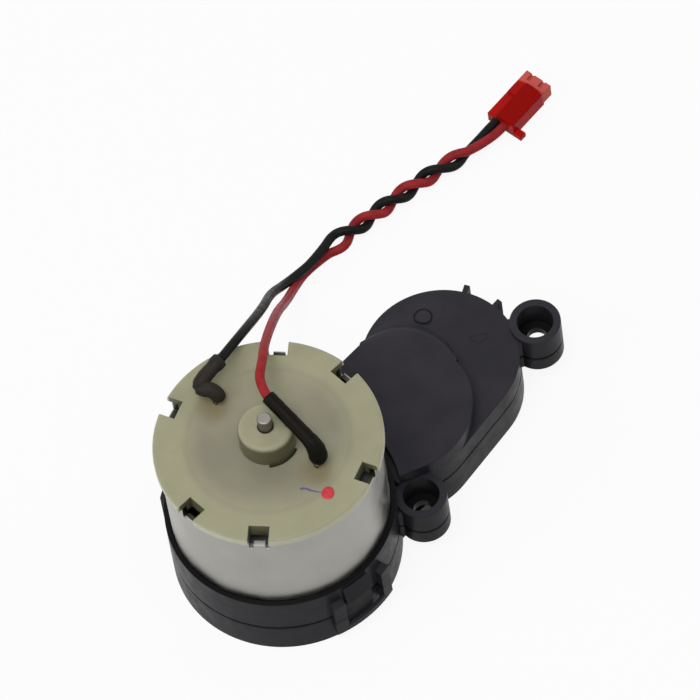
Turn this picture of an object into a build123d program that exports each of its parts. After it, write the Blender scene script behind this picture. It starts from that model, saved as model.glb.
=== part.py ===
"""Side brush gearmotor of a robot vacuum, in millimetres.

The origin is the output axis at the underside of the gear housing. +X runs from the motor axis
towards the output axis, +Z is up, away from the floor that the brush sweeps.
"""
import os
from math import acos, asin, atan2, cos, degrees, hypot, pi, radians, sin, sqrt, tan

from build123d import *

os.makedirs("parts", exist_ok=True)

# Axes in plan: the gear train steps from the output axis to the motor axis
OUTPUT = (0.0, 0.0)
OUTPUT_TO_SECOND_DEG = 187.8
SECOND_TO_FIRST_DEG = 179.9

# Heights of the housing
FLOOR_TOP = 1.3
PARTING = 5.7
LOBE_CEILING = 7.9
LOBE_TOP = 9.2
PLATE_UNDER = 9.2
PLATE_TOP = 10.6
PLATEAU_CEILING = 10.7
RIM_TOP = 12.0

# Plan of the housing
CAN_R = 15.36
RING_R = CAN_R + 0.84
LOBE_R = 11.2
BULGE_R = 10.94
BACK_Y = 8.9
NECK_Y = -11.6
WALL = 1.2
MOTOR_CUT_R = RING_R + 0.8
PLATEAU_CORNER = (14.0, -9.84)
PLATEAU_SHOULDER = (18.0, -11.66)
# Slope from the plateau to the round end: bearing from the second axis and reach outwards
RAMP_REACHES = ((-9, 0.5), (10, 3.4), (30, 5.2), (48, 4.6), (62, 2.6), (80, 1.2), (100, 1.0))

# Screw ears
EAR_R = 3.65
EAR_BORE_R = 2.6
EAR_HOLE_R = 1.4
EAR_BOTTOM = 2.7
EAR_FLOOR_UNDER = 4.4
EAR_TOP = 9.8
EAR_WEB = 4.4
EAR_WEB_TOP = 9.2
EAR_BY_OUTPUT = (12.78, -6.47)
EAR_BY_MOTOR_OUT = 3.363
EAR_BY_MOTOR_DEG = -42.079
PARTING_GROOVE_H = 0.3
PARTING_GROOVE_D = 0.22

# Snap latches
LATCH_GAP = 0.15
LATCH_T = 1.05
LATCH_BAR_LOW = 2.1
LATCH_BAR_HIGH = 3.2
LATCH_BAR_T = 0.5
HOOK_SIDE_GAP_DEG = 1.2
HOOK_STEM_T = 0.35
HOOK_STEM_LOW = 2.2
HOOK_HEAD_HIGH = 8.4
HOOK_HEAD_LOW = 5.0
HOOK_HEAD_H = 3.0
HOOK_HEAD_INSET = 0.2
HOOK_HEAD_TIP = 0.1

# Toothing
PRESSURE = radians(25)
ADDENDUM = 0.9
DEDENDUM = 1.2
TOOTH_FILL = 0.88
MODULE_MOTOR = 0.4
MODULE_SECOND = 0.5
MODULE_OUTPUT = 0.6
PINION_TEETH_MOTOR = 12
WHEEL_TEETH_FIRST = 41
PINION_TEETH_FIRST = 14
WHEEL_TEETH_SECOND = 32
PINION_TEETH_SECOND = 12
WHEEL_TEETH_OUTPUT = 24

# Heights of the gear train
SHAFT_BOTTOM = 1.7
MOTOR_PINION_LOW = 1.8
MOTOR_PINION_HIGH = 6.0
FIRST_WHEEL_LOW = 1.9
FIRST_WHEEL_HIGH = 3.5
FIRST_PINION_HIGH = 8.9
SECOND_PINION_LOW = 3.9
SECOND_WHEEL_LOW = 7.3
SECOND_WHEEL_HIGH = 8.8
SECOND_HUB_HIGH = 10.4
OUTPUT_LOW = 0.4
OUTPUT_WHEEL_LOW = 3.9
OUTPUT_WHEEL_HIGH = 6.3
OUTPUT_HUB_HIGH = 6.7

# Axles, hubs and their bores
AXLE_R = 0.75
AXLE_BOTTOM = 0.4
FIRST_AXLE_TOP = 10.1
SECOND_AXLE_TOP = 11.5
RUNNING_GAP = 0.05
BOSS_WALL = 1.05
FIRST_BOSS_TOP = 1.6
SECOND_BOSS_TOP = 3.6
SECOND_HUB_R = 2.6
OUTPUT_HUB_R = 5.0
COLLAR_WALL = 1.4
COLLAR_TOP = 3.5
SOCKET_SIDE = 5.6
SOCKET_TOP = 4.8
PIN_R = 1.0
PIN_LOW = 5.6
PIN_TOP = 8.6
PIN_HOLE_LOW = 5.4
PIN_BOSS_UNDER = 7.0

# Motor can, cap and inner parts
CAN_WALL = 0.8
CAN_TOP = 28.4
POCKET_GAP = 0.12
NOSE_R = 3.2
NOSE_LOW = 9.4
NOSE_GAP = 0.2
CAP_R = CAN_R + 0.64
CAP_TOP = 29.6
CAP_EDGE = 0.5
CAP_BOSS_EDGE = 0.7
CAP_PLUG_LOW = 27.0
CAP_PLUG_WALL = 1.2
CAP_PLUG_GAP = 0.12
CAP_BOSS_R = 3.95
CAP_BOSS_H = 3.8
CAP_BOSS_TOP = CAP_TOP + CAP_BOSS_H
CAP_BOSS_ROOF = 0.9
SHAFT_HOLE_R = 1.15
BOSS_SLOT_W = 0.4
BOSS_SLOT_DEG = (-134.0, -68.0)
NOTCH_DEG = (38.0, 109.5, 177.5, 218.0, 289.5, 357.5)
NOTCH_W = 2.9
NOTCH_DEPTH = 2.5
NOTCH_R = CAP_R - NOTCH_DEPTH
TAB_DEG = (38.0, 177.5, 218.0, 289.5, 357.5)
NOTCH_FLOOR = 26.6
TAB_W = 1.66
TAB_TOP = 27.5
SHAFT_R = 1.0
SHAFT_PROUD = 2.3
SHAFT_TOP = CAP_BOSS_TOP + SHAFT_PROUD
BEARING_R = 2.5
FRONT_BEARING_HIGH = 11.7
REAR_BEARING_SINK = 1.2
REAR_BEARING_HIGH = CAP_BOSS_TOP - REAR_BEARING_SINK
WASHER_R = 2.2
WASHER_T = 0.35
MAGNET_OUTER_GAP = 0.06
MAGNET_T = 2.7
MAGNET_LOW = 12.5
MAGNET_HIGH = 25.6
MAGNET_HALF_DEG = 60.0
CORE_AIR_GAP = 0.5
CORE_R = CAN_R - CAN_WALL - MAGNET_OUTER_GAP - MAGNET_T - CORE_AIR_GAP
CORE_HUB_R = 3.2
CORE_WEB = 3.2
CORE_SHOE_IN_R = CORE_R - 1.7
CORE_SHOE_HALF_DEG = 50.0
CORE_LOW = 14.2
CORE_HIGH = 22.2
POLES = 3
COIL_INNER_R = 3.8
COIL_OUTER_R = CORE_SHOE_IN_R - 0.8
COIL_THICK = 1.5
COIL_GAP = 0.05
COMMUTATOR_R = 2.6
COMMUTATOR_LOW = 24.2
COMMUTATOR_HIGH = 27.2
SEGMENT_SLOT = 0.3
ARM_T = 0.25
ARM_LOW = 24.8
ARM_HIGH = 26.6
ARM_REACH = 2.0
TERMINAL_W = 1.3
TERMINAL_T = 0.5
TERMINAL_LOW = 24.4
TERMINAL_HOLE_GAP = 0.1
SCREW_INSET = 2.86
SCREW_SPREAD = CAN_R - SCREW_INSET
SCREW_R = 0.95
SCREW_TIP = 11.9
SCREW_HEAD_R = 1.9
SCREW_HEAD_T = 1.4
SCREW_HOLE_GAP = 0.1
SLOT_W = 0.5

# Leads, sleeves and connector, plan points counted from the motor axis
WIRE_R = 0.675
SLEEVE_R = 1.0
SLEEVE_FIT = 0.01
SLEEVE_FOOT = CAP_TOP + 0.5
SLEEVE_RUN_BLACK = 4.3
SLEEVE_RUN_RED = 9.6
TERMINAL_BLACK = (0.2, CAN_R - 5.76)
TERMINAL_RED = (1.85, 7.46 - CAN_R)
BEND_BLACK = (-0.1, TERMINAL_BLACK[1] + 1.9, CAP_TOP + 3.3)
BEND_RED = (2.7, TERMINAL_RED[1] - 0.2, CAP_BOSS_TOP - 0.7)
ROUTE_BLACK = ((9.3, 13.7, CAP_TOP + 2.4), (17.2, 19.0, 21.0), (27.6, 26.2, 6.4))
ROUTE_RED = (
    (3.95, 4.4, CAP_BOSS_TOP + 3.6),
    (5.95, 7.3, CAP_BOSS_TOP + 2.8),
    (11.0, 10.2, CAP_BOSS_TOP - 0.4),
    (18.3, 16.2, 21.8),
    (27.4, 24.0, 7.2),
)
LEAD_IN = 5.2
PAIR_R = 2 * WIRE_R
PAIR_LEAN_DEG = 40.0
PAIR_START = (38.4, 28.2)
PAIR_ROUTE = ((47.0, 27.1), (57.2, 25.4), (65.4, 23.24))
CONNECTOR_NEAR = (70.3, 23.5)
CONNECTOR_TURN = 3.0
CONNECTOR_L = 8.8
CONNECTOR_W = 4.8
CONNECTOR_H = 2.85
CONNECTOR_MAIN_L = 6.9
CONNECTOR_LEDGE_W = 1.7
CONNECTOR_LEDGE_H = 1.9
CONNECTOR_NOSE_H = 2.4
CONNECTOR_NOSE_INSET = 0.2
NOSE_SLOT_W = 0.5
NOSE_SLOT_L = 1.2
NOSE_SLOT_DEPTH = 0.4
CONNECTOR_LIP = 1.3
CONNECTOR_LIP_L = 1.1
CONNECTOR_LIP_H = 0.9
CONTACT_PITCH = 2.0
CONTACT_SIDE = 1.1
CONTACT_WALL = 0.2
CONTACT_GAP = 0.05
CONTACT_L = 4.5
CONTACT_SETBACK = 0.6
CONTACT_Z = 1.0


def centre_distance(teeth_a, teeth_b, module):
    """Return the distance between the axes of two meshing gears."""
    return module * (teeth_a + teeth_b) / 2


def bearing_deg(start, end):
    """Return the plan direction from one point to another, in degrees."""
    return degrees(atan2(end[1] - start[1], end[0] - start[0]))


def polar(centre, radius, angle):
    """Return a plan point at a radius and an angle in degrees."""
    return (centre[0] + radius * cos(radians(angle)), centre[1] + radius * sin(radians(angle)))


def from_motor(point):
    """Move a point counted from the motor axis into the part's frame."""
    return (point[0] + MOTOR[0],) + tuple(point[1:])


SECOND = polar(
    OUTPUT,
    centre_distance(PINION_TEETH_SECOND, WHEEL_TEETH_OUTPUT, MODULE_OUTPUT),
    OUTPUT_TO_SECOND_DEG,
)
FIRST = polar(
    SECOND,
    centre_distance(PINION_TEETH_FIRST, WHEEL_TEETH_SECOND, MODULE_SECOND),
    SECOND_TO_FIRST_DEG,
)
MOTOR_STEP = centre_distance(PINION_TEETH_MOTOR, WHEEL_TEETH_FIRST, MODULE_MOTOR)
MOTOR = (FIRST[0] - sqrt(MOTOR_STEP**2 - FIRST[1] ** 2), 0.0)
EAR_BY_MOTOR = polar(MOTOR, RING_R + EAR_BY_MOTOR_OUT, EAR_BY_MOTOR_DEG)


def disc(centre, radius, level):
    """Return a round outline at a height."""
    with BuildSketch(Plane.XY.offset(level)) as shape:
        with Locations(centre):
            Circle(radius)
    return shape.sketch


def drum(centre, radius, low, high, mode=Mode.ADD):
    """Add or cut one upright cylinder."""
    extrude(disc(centre, radius, low), amount=high - low, mode=mode)


def block(centre, size_x, size_y, low, high, turn=0, mode=Mode.ADD):
    """Add or cut one upright block, turned about its centre."""
    with BuildSketch(Plane.XY.offset(low)) as shape:
        with Locations(Location((centre[0], centre[1], 0), (0, 0, turn))):
            Rectangle(size_x, size_y)
    extrude(shape.sketch, amount=high - low, mode=mode)


def sector(centre, inner_r, outer_r, from_deg, to_deg, low, high, mode=Mode.ADD):
    """Add or cut one upright piece of a ring between two angles."""
    with BuildSketch(Plane.XY.offset(low)) as shape:
        with BuildLine():
            CenterArc(centre, outer_r, from_deg, to_deg - from_deg)
            CenterArc(centre, inner_r, from_deg, to_deg - from_deg)
            Line(polar(centre, inner_r, from_deg), polar(centre, outer_r, from_deg))
            Line(polar(centre, inner_r, to_deg), polar(centre, outer_r, to_deg))
        make_face()
    extrude(shape.sketch, amount=high - low, mode=mode)


def toothed(centre, teeth, module, phase, low, high):
    """Add one spur gear with a tooth centred on the phase angle."""
    pitch_r = module * teeth / 2
    base_r = pitch_r * cos(PRESSURE)
    root_r = pitch_r - DEDENDUM * module
    tip_r = pitch_r + ADDENDUM * module
    flank_r = max(base_r, root_r)
    middle_r = (flank_r + tip_r) / 2

    def half_width(radius):
        """Return half the tooth's angle at a radius, in degrees."""
        slope = acos(min(1.0, base_r / radius))
        involute = tan(PRESSURE) - PRESSURE - tan(slope) + slope
        return degrees(TOOTH_FILL * pi / (2 * teeth) + involute)

    with BuildSketch(Plane.XY.offset(low)) as shape:
        with BuildLine():
            first_root = None
            last_root = None
            for tooth in range(teeth):
                middle = phase + 360 * tooth / teeth
                sides = []
                for side in (-1, 1):
                    sides.append(
                        [
                            polar(centre, root_r, middle + side * half_width(flank_r)),
                            polar(centre, flank_r, middle + side * half_width(flank_r)),
                            polar(centre, middle_r, middle + side * half_width(middle_r)),
                            polar(centre, tip_r, middle + side * half_width(tip_r)),
                        ]
                    )
                    if flank_r > root_r:
                        Line(sides[-1][0], sides[-1][1])
                    ThreePointArc(*sides[-1][1:])
                Line(sides[0][3], sides[1][3])
                if last_root is None:
                    first_root = sides[0][0]
                else:
                    Line(last_root, sides[0][0])
                last_root = sides[1][0]
            Line(last_root, first_root)
        make_face()
    extrude(shape.sketch, amount=high - low)


def housing_plan(inset, level):
    """Return the plan of the gear housing, drawn in by the inset."""
    with BuildSketch(Plane.XY.offset(level)) as shape:
        with BuildLine():
            CenterArc(SECOND, BULGE_R - inset, 0, 360)
            CenterArc(OUTPUT, LOBE_R - inset, 0, 360)
        make_hull()
        neck_low = NECK_Y + inset
        neck_high = BACK_Y - inset
        with BuildLine():
            Polyline(
                (MOTOR[0], neck_low),
                (SECOND[0], neck_low),
                (SECOND[0], neck_high),
                (MOTOR[0], neck_high),
                close=True,
            )
        make_face()
        with Locations((MOTOR[0], neck_high - LOBE_R * 2)):
            Rectangle(abs(MOTOR[0]) * 4, LOBE_R * 4, mode=Mode.INTERSECT)
        with Locations(OUTPUT):
            Circle(LOBE_R - inset)
        with Locations(MOTOR):
            Circle(RING_R - inset)
    return shape.sketch


def plateau_plan(level, cut_r):
    """Return the plan of the raised plateau, cut clear of the motor ring."""
    with BuildSketch(Plane.XY.offset(level)) as shape:
        with Locations(SECOND):
            Circle(BULGE_R)
        with BuildLine():
            Polyline(
                from_motor(PLATEAU_CORNER),
                from_motor(PLATEAU_SHOULDER),
                SECOND,
                (SECOND[0], BACK_Y),
                (MOTOR[0] + NOTCH_R, BACK_Y),
                (MOTOR[0] + NOTCH_R, PLATEAU_CORNER[1]),
                close=True,
            )
        make_face()
        with Locations((SECOND[0], BACK_Y - BULGE_R * 2)):
            Rectangle(BULGE_R * 4, BULGE_R * 4, mode=Mode.INTERSECT)
        with Locations(MOTOR):
            Circle(cut_r, mode=Mode.SUBTRACT)
    return shape.sketch


def upright_plane(hub, angle):
    """Return the upright plane through an axis whose x runs out at a bearing."""
    turn = radians(angle)
    return Plane(
        origin=hub + (0,), x_dir=(cos(turn), sin(turn), 0), z_dir=(sin(turn), -cos(turn), 0)
    )


def ramp():
    """Return the soft slope by which the plateau runs out into the top of the round end."""
    sections = []
    for angle, reach in RAMP_REACHES:
        foot = BULGE_R + reach
        with BuildSketch(upright_plane(SECOND, angle)) as section:
            with BuildLine():
                Spline((BULGE_R, RIM_TOP), (foot, LOBE_TOP), tangents=[(1, 0), (1, 0)])
                Polyline(
                    (foot, LOBE_TOP),
                    (BULGE_R - WALL, LOBE_TOP),
                    (BULGE_R - WALL, RIM_TOP),
                    (BULGE_R, RIM_TOP),
                )
            make_face()
        sections.append(section.sketch.faces()[0])
    room = extrude(housing_plan(0, LOBE_TOP), RIM_TOP - LOBE_TOP)
    return loft(sections) & room


def parting_groove():
    """Return the shadow line round the lower shell where the two shells meet."""
    level = PARTING - PARTING_GROOVE_H
    outline = shell_plan(0, level) - shell_plan(PARTING_GROOVE_D, level)
    return extrude(outline, PARTING_GROOVE_H)


def shell_plan(inset, level):
    """Return the plan of the housing with its ears and webs, drawn in by the inset."""
    plan = housing_plan(inset, level)
    for ear, hub, wall_r in ((EAR_BY_OUTPUT, OUTPUT, LOBE_R), (EAR_BY_MOTOR, MOTOR, RING_R)):
        start = wall_r - WALL / 2
        end = hypot(ear[0] - hub[0], ear[1] - hub[1])
        turn = bearing_deg(hub, ear)
        with BuildSketch(Plane.XY.offset(level)) as ear_plan:
            with Locations(ear):
                Circle(EAR_R - inset)
            with Locations(Location(polar(hub, (start + end) / 2, turn) + (0,), (0, 0, turn))):
                Rectangle(end - start, EAR_WEB - 2 * inset)
        plan += ear_plan.sketch
    return plan


def ears(low, high, web_high):
    """Add the screw ears with the webs that tie them to the housing."""
    for ear, hub, wall_r in ((EAR_BY_OUTPUT, OUTPUT, LOBE_R), (EAR_BY_MOTOR, MOTOR, RING_R)):
        drum(ear, EAR_R, low, high)
        start = wall_r - WALL / 2
        end = hypot(ear[0] - hub[0], ear[1] - hub[1])
        middle = polar(hub, (start + end) / 2, bearing_deg(hub, ear))
        block(middle, end - start, EAR_WEB, low, web_high, bearing_deg(hub, ear))


def hook_head(hub, inner_r, outer_r, from_deg, to_deg, low, high):
    """Add the wedge-shaped head of a latch hook, sloped outwards and down to its catch."""
    with BuildSketch(upright_plane(hub, from_deg)) as section:
        with BuildLine():
            Polyline(
                (inner_r, low),
                (outer_r, low),
                (inner_r + HOOK_HEAD_TIP, high),
                (inner_r, high),
                close=True,
            )
        make_face()
    revolve(section.sketch, Axis(hub + (0,), (0, 0, 1)), to_deg - from_deg)


# Each latch: axis it bends round, wall radius, loop from and to, window from and to, hook to,
# hook underside
LATCHES = (
    (MOTOR, RING_R, -112.5, -78.2, -106.1, -84.3, -89.7, HOOK_HEAD_HIGH),
    (OUTPUT, LOBE_R, -2.0, 26.6, 1.6, 22.8, 18.3, HOOK_HEAD_LOW),
    (MOTOR, RING_R, 86.0, 122.0, 94.0, 114.0, 112.8, HOOK_HEAD_HIGH),
)


def on_run(start, end, distance):
    """Return the point at a distance from the start of a straight run."""
    run = (Vector(*end) - Vector(*start)).normalized() * distance
    return tuple(Vector(*start) + run)


def tube_path(points, section_r, name):
    """Return a route of straight runs joined by tangent arcs, and print its length and radii."""
    radii = []
    for before, here, after in zip(points, points[1:], points[2:]):
        run_in = Vector(*here) - Vector(*before)
        run_out = Vector(*after) - Vector(*here)
        half_turn = radians(run_in.get_angle(run_out)) / 2
        radii.append(0.45 * min(run_in.length, run_out.length) / tan(half_turn))
    if radii:
        with BuildLine() as route:
            FilletPolyline(*points, radius=radii)
    else:
        with BuildLine() as route:
            Line(*points)
    line = route.wire()
    smallest = min(radii, default=0.0)
    print(
        f"{name}: length {line.length:.1f} mm, smallest bend {smallest:.1f} mm, "
        f"section times length {pi * section_r**2 * line.length:.1f} mm3"
    )
    return line


def tube(points, section_r, name):
    """Add a round tube along a route."""
    line = tube_path(points, section_r, name)
    with BuildSketch(Plane(origin=line @ 0, z_dir=line % 0)) as section:
        Circle(section_r)
    sweep(section.sketch, path=line)


RAMP = ramp()
PARTING_LINE = parting_groove()

with BuildPart() as lower_housing:
    extrude(housing_plan(0, 0), amount=PARTING)
    ears(EAR_BOTTOM, PARTING, PARTING)
    extrude(housing_plan(WALL, FLOOR_TOP), amount=PARTING - FLOOR_TOP, mode=Mode.SUBTRACT)
    for ear in (EAR_BY_OUTPUT, EAR_BY_MOTOR):
        drum(ear, EAR_BORE_R, EAR_BOTTOM, EAR_FLOOR_UNDER, Mode.SUBTRACT)
        drum(ear, EAR_HOLE_R, EAR_FLOOR_UNDER, PARTING, Mode.SUBTRACT)
    drum(OUTPUT, OUTPUT_HUB_R + RUNNING_GAP + COLLAR_WALL, 0, COLLAR_TOP)
    drum(OUTPUT, OUTPUT_HUB_R + RUNNING_GAP, 0, COLLAR_TOP, Mode.SUBTRACT)
    for axis, boss_top in ((FIRST, FIRST_BOSS_TOP), (SECOND, SECOND_BOSS_TOP)):
        drum(axis, AXLE_R + BOSS_WALL, FLOOR_TOP, boss_top)
        drum(axis, AXLE_R, AXLE_BOTTOM, boss_top, Mode.SUBTRACT)
    for hub, wall_r, _, _, window_from, _, hook_to, hook_low in LATCHES:
        hook_from = window_from + HOOK_SIDE_GAP_DEG
        stem_in = wall_r + LATCH_GAP
        stem_out = stem_in + HOOK_STEM_T
        sector(hub, wall_r - WALL / 2, stem_out, hook_from, hook_to, HOOK_STEM_LOW, PARTING - WALL)
        hook_top = hook_low + HOOK_HEAD_H
        sector(hub, stem_in, stem_out, hook_from, hook_to, PARTING - WALL, hook_low)
        head_out = stem_in + LATCH_T - HOOK_HEAD_INSET
        hook_head(hub, stem_in, head_out, hook_from, hook_to, hook_low, hook_top)
    add(PARTING_LINE, mode=Mode.SUBTRACT)
lower_housing.part.label = "lower_housing"

with BuildPart() as upper_housing:
    extrude(housing_plan(0, PARTING), amount=LOBE_TOP - PARTING)
    ears(PARTING, EAR_TOP, EAR_WEB_TOP)
    drum(MOTOR, RING_R, LOBE_TOP, RIM_TOP)
    extrude(plateau_plan(LOBE_TOP, NOTCH_R), amount=PLATE_TOP - LOBE_TOP)
    extrude(plateau_plan(PLATE_TOP, MOTOR_CUT_R), amount=RIM_TOP - PLATE_TOP)
    add(RAMP)
    for hub, wall_r, loop_from, loop_to, window_from, window_to, _, _ in LATCHES:
        inner = wall_r + LATCH_GAP
        outer = inner + LATCH_T
        for side_from, side_to in ((loop_from, window_from), (window_to, loop_to)):
            sector(hub, inner, outer, side_from, side_to, LATCH_BAR_LOW, LOBE_TOP)
            sector(hub, wall_r - WALL / 2, inner, side_from, side_to, PARTING, LOBE_TOP)
        sector(hub, outer - LATCH_BAR_T, outer, window_from, window_to, LATCH_BAR_LOW,
               LATCH_BAR_HIGH)
    extrude(housing_plan(WALL, PARTING), amount=LOBE_CEILING - PARTING, mode=Mode.SUBTRACT)
    with BuildSketch(Plane.XY.offset(PARTING)) as under_plate:
        with Locations(MOTOR):
            Circle(RING_R - WALL)
        with Locations((MOTOR[0] + RING_R / 2, (BACK_Y + NECK_Y) / 2)):
            Rectangle(RING_R, BACK_Y - NECK_Y - 2 * WALL)
        with Locations(SECOND):
            Circle(BULGE_R - WALL)
        with Locations((SECOND[0], BACK_Y - WALL + BULGE_R)):
            Rectangle(BULGE_R * 4, BULGE_R * 2, mode=Mode.SUBTRACT)
        with Locations(MOTOR):
            Circle(RING_R - WALL)
    extrude(amount=PLATE_UNDER - PARTING, mode=Mode.SUBTRACT)
    with BuildSketch(Plane.XY.offset(PLATE_UNDER)) as under_plateau:
        with Locations(SECOND):
            Circle(BULGE_R - WALL)
        with Locations((SECOND[0], BACK_Y - WALL + BULGE_R)):
            Rectangle(BULGE_R * 4, BULGE_R * 2, mode=Mode.SUBTRACT)
        with Locations(MOTOR):
            Circle(MOTOR_CUT_R + WALL, mode=Mode.SUBTRACT)
    extrude(amount=PLATEAU_CEILING - PLATE_UNDER, mode=Mode.SUBTRACT)
    drum(MOTOR, CAN_R + POCKET_GAP, PLATE_TOP, RIM_TOP, Mode.SUBTRACT)
    drum(MOTOR, NOSE_R + NOSE_GAP, PLATE_UNDER, PLATE_TOP, Mode.SUBTRACT)
    for side in (-1, 1):
        hole = (MOTOR[0], side * SCREW_SPREAD)
        drum(hole, SCREW_R + SCREW_HOLE_GAP, PLATE_UNDER, PLATE_TOP, Mode.SUBTRACT)
    for ear in (EAR_BY_OUTPUT, EAR_BY_MOTOR):
        drum(ear, EAR_BORE_R, PARTING, EAR_TOP, Mode.SUBTRACT)
    drum(FIRST, AXLE_R, PLATE_UNDER, FIRST_AXLE_TOP, Mode.SUBTRACT)
    drum(SECOND, AXLE_R, PLATEAU_CEILING, SECOND_AXLE_TOP, Mode.SUBTRACT)
    drum(OUTPUT, PIN_R + BOSS_WALL, PIN_BOSS_UNDER, LOBE_CEILING)
    drum(OUTPUT, PIN_R, PIN_BOSS_UNDER, PIN_TOP, Mode.SUBTRACT)
upper_housing.part.label = "upper_housing"

CAN_INNER_R = CAN_R - CAN_WALL
with BuildPart() as motor_can:
    drum(MOTOR, CAN_R, PLATE_TOP, CAN_TOP)
    fillet(motor_can.edges().group_by(Axis.Z)[0], CAN_WALL)
    drum(MOTOR, NOSE_R, NOSE_LOW, PLATE_TOP)
    drum(MOTOR, CAN_INNER_R, PLATE_TOP + CAN_WALL, CAN_TOP, Mode.SUBTRACT)
    drum(MOTOR, BEARING_R, NOSE_LOW, PLATE_TOP + CAN_WALL, Mode.SUBTRACT)
    for side in (-1, 1):
        hole = (MOTOR[0], side * SCREW_SPREAD)
        drum(hole, SCREW_R + RUNNING_GAP, PLATE_TOP, PLATE_TOP + CAN_WALL, Mode.SUBTRACT)
    for angle in NOTCH_DEG:
        middle = polar(MOTOR, CAN_R, angle)
        block(middle, 4 * CAN_WALL, NOTCH_W, NOTCH_FLOOR, CAN_TOP, angle, Mode.SUBTRACT)
    for angle in TAB_DEG:
        half = degrees(asin(TAB_W / 2 / CAN_R))
        sector(MOTOR, CAN_INNER_R, CAN_R, angle - half, angle + half, NOTCH_FLOOR, TAB_TOP)
motor_can.part.label = "motor_can"

with BuildPart() as end_cap:
    drum(MOTOR, CAP_R, CAN_TOP, CAP_TOP)
    fillet(end_cap.edges().group_by(Axis.Z)[-1], CAP_EDGE)
    drum(MOTOR, CAN_INNER_R - CAP_PLUG_GAP, CAP_PLUG_LOW, CAN_TOP)
    drum(MOTOR, CAN_INNER_R - CAP_PLUG_GAP - CAP_PLUG_WALL, CAP_PLUG_LOW, CAN_TOP, Mode.SUBTRACT)
    drum(MOTOR, CAP_BOSS_R, CAP_TOP, CAP_BOSS_TOP)
    fillet(end_cap.edges().group_by(Axis.Z)[-1], CAP_BOSS_EDGE)
    drum(MOTOR, BEARING_R, CAN_TOP, CAP_BOSS_TOP - CAP_BOSS_ROOF, Mode.SUBTRACT)
    drum(MOTOR, SHAFT_HOLE_R, CAN_TOP, CAP_BOSS_TOP, Mode.SUBTRACT)
    sector(MOTOR, CAP_BOSS_R, CAP_BOSS_R + BOSS_SLOT_W, *BOSS_SLOT_DEG, CAN_TOP, CAP_TOP,
           Mode.SUBTRACT)
    for angle in NOTCH_DEG:
        middle = polar(MOTOR, NOTCH_R + CAP_R / 2, angle)
        block(middle, CAP_R, NOTCH_W, CAP_PLUG_LOW, CAP_TOP, angle, Mode.SUBTRACT)
    for place in (TERMINAL_BLACK, TERMINAL_RED):
        block(from_motor(place), TERMINAL_W + 2 * TERMINAL_HOLE_GAP,
              TERMINAL_T + 2 * TERMINAL_HOLE_GAP, CAN_TOP, CAP_TOP, 0, Mode.SUBTRACT)
end_cap.part.label = "end_cap"

MAGNET_OUTER_R = CAN_INNER_R - MAGNET_OUTER_GAP
with BuildPart() as magnet_front:
    sector(MOTOR, MAGNET_OUTER_R - MAGNET_T, MAGNET_OUTER_R, -90 - MAGNET_HALF_DEG,
           -90 + MAGNET_HALF_DEG, MAGNET_LOW, MAGNET_HIGH)
magnet_front.part.label = "magnet_front"

with BuildPart() as magnet_back:
    sector(MOTOR, MAGNET_OUTER_R - MAGNET_T, MAGNET_OUTER_R, 90 - MAGNET_HALF_DEG,
           90 + MAGNET_HALF_DEG, MAGNET_LOW, MAGNET_HIGH)
magnet_back.part.label = "magnet_back"

with BuildPart() as armature_core:
    drum(MOTOR, CORE_HUB_R, CORE_LOW, CORE_HIGH)
    for pole in range(POLES):
        angle = 360 * pole / POLES
        middle = polar(MOTOR, (CORE_HUB_R + CORE_SHOE_IN_R) / 2, angle)
        block(middle, CORE_SHOE_IN_R, CORE_WEB, CORE_LOW, CORE_HIGH, angle)
        sector(MOTOR, CORE_SHOE_IN_R, CORE_R, angle - CORE_SHOE_HALF_DEG,
               angle + CORE_SHOE_HALF_DEG, CORE_LOW, CORE_HIGH)
    drum(MOTOR, SHAFT_R, CORE_LOW, CORE_HIGH, Mode.SUBTRACT)
armature_core.part.label = "armature_core"

with BuildPart() as windings:
    for pole in range(POLES):
        angle = 360 * pole / POLES
        middle = polar(MOTOR, (COIL_INNER_R + COIL_OUTER_R) / 2, angle)
        web = CORE_WEB + 2 * COIL_GAP
        length = COIL_OUTER_R - COIL_INNER_R
        block(middle, length, web + 2 * COIL_THICK, CORE_LOW - COIL_GAP - COIL_THICK,
              CORE_HIGH + COIL_GAP + COIL_THICK, angle)
        block(middle, length, web, CORE_LOW - COIL_GAP, CORE_HIGH + COIL_GAP, angle,
              Mode.SUBTRACT)
windings.part.label = "windings"

with BuildPart() as motor_shaft:
    drum(MOTOR, SHAFT_R, SHAFT_BOTTOM, SHAFT_TOP)
    fillet(motor_shaft.edges().group_by(Axis.Z)[-1], CAP_EDGE / 2)
motor_shaft.part.label = "motor_shaft"

with BuildPart() as commutator:
    drum(MOTOR, COMMUTATOR_R, COMMUTATOR_LOW, COMMUTATOR_HIGH)
    drum(MOTOR, SHAFT_R, COMMUTATOR_LOW, COMMUTATOR_HIGH, Mode.SUBTRACT)
    for pole in range(POLES):
        angle = 180 / POLES + 360 * pole / POLES
        block(polar(MOTOR, COMMUTATOR_R, angle), COMMUTATOR_R / 2, SEGMENT_SLOT,
              COMMUTATOR_LOW + SEGMENT_SLOT, COMMUTATOR_HIGH, angle, Mode.SUBTRACT)
commutator.part.label = "commutator"


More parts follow.
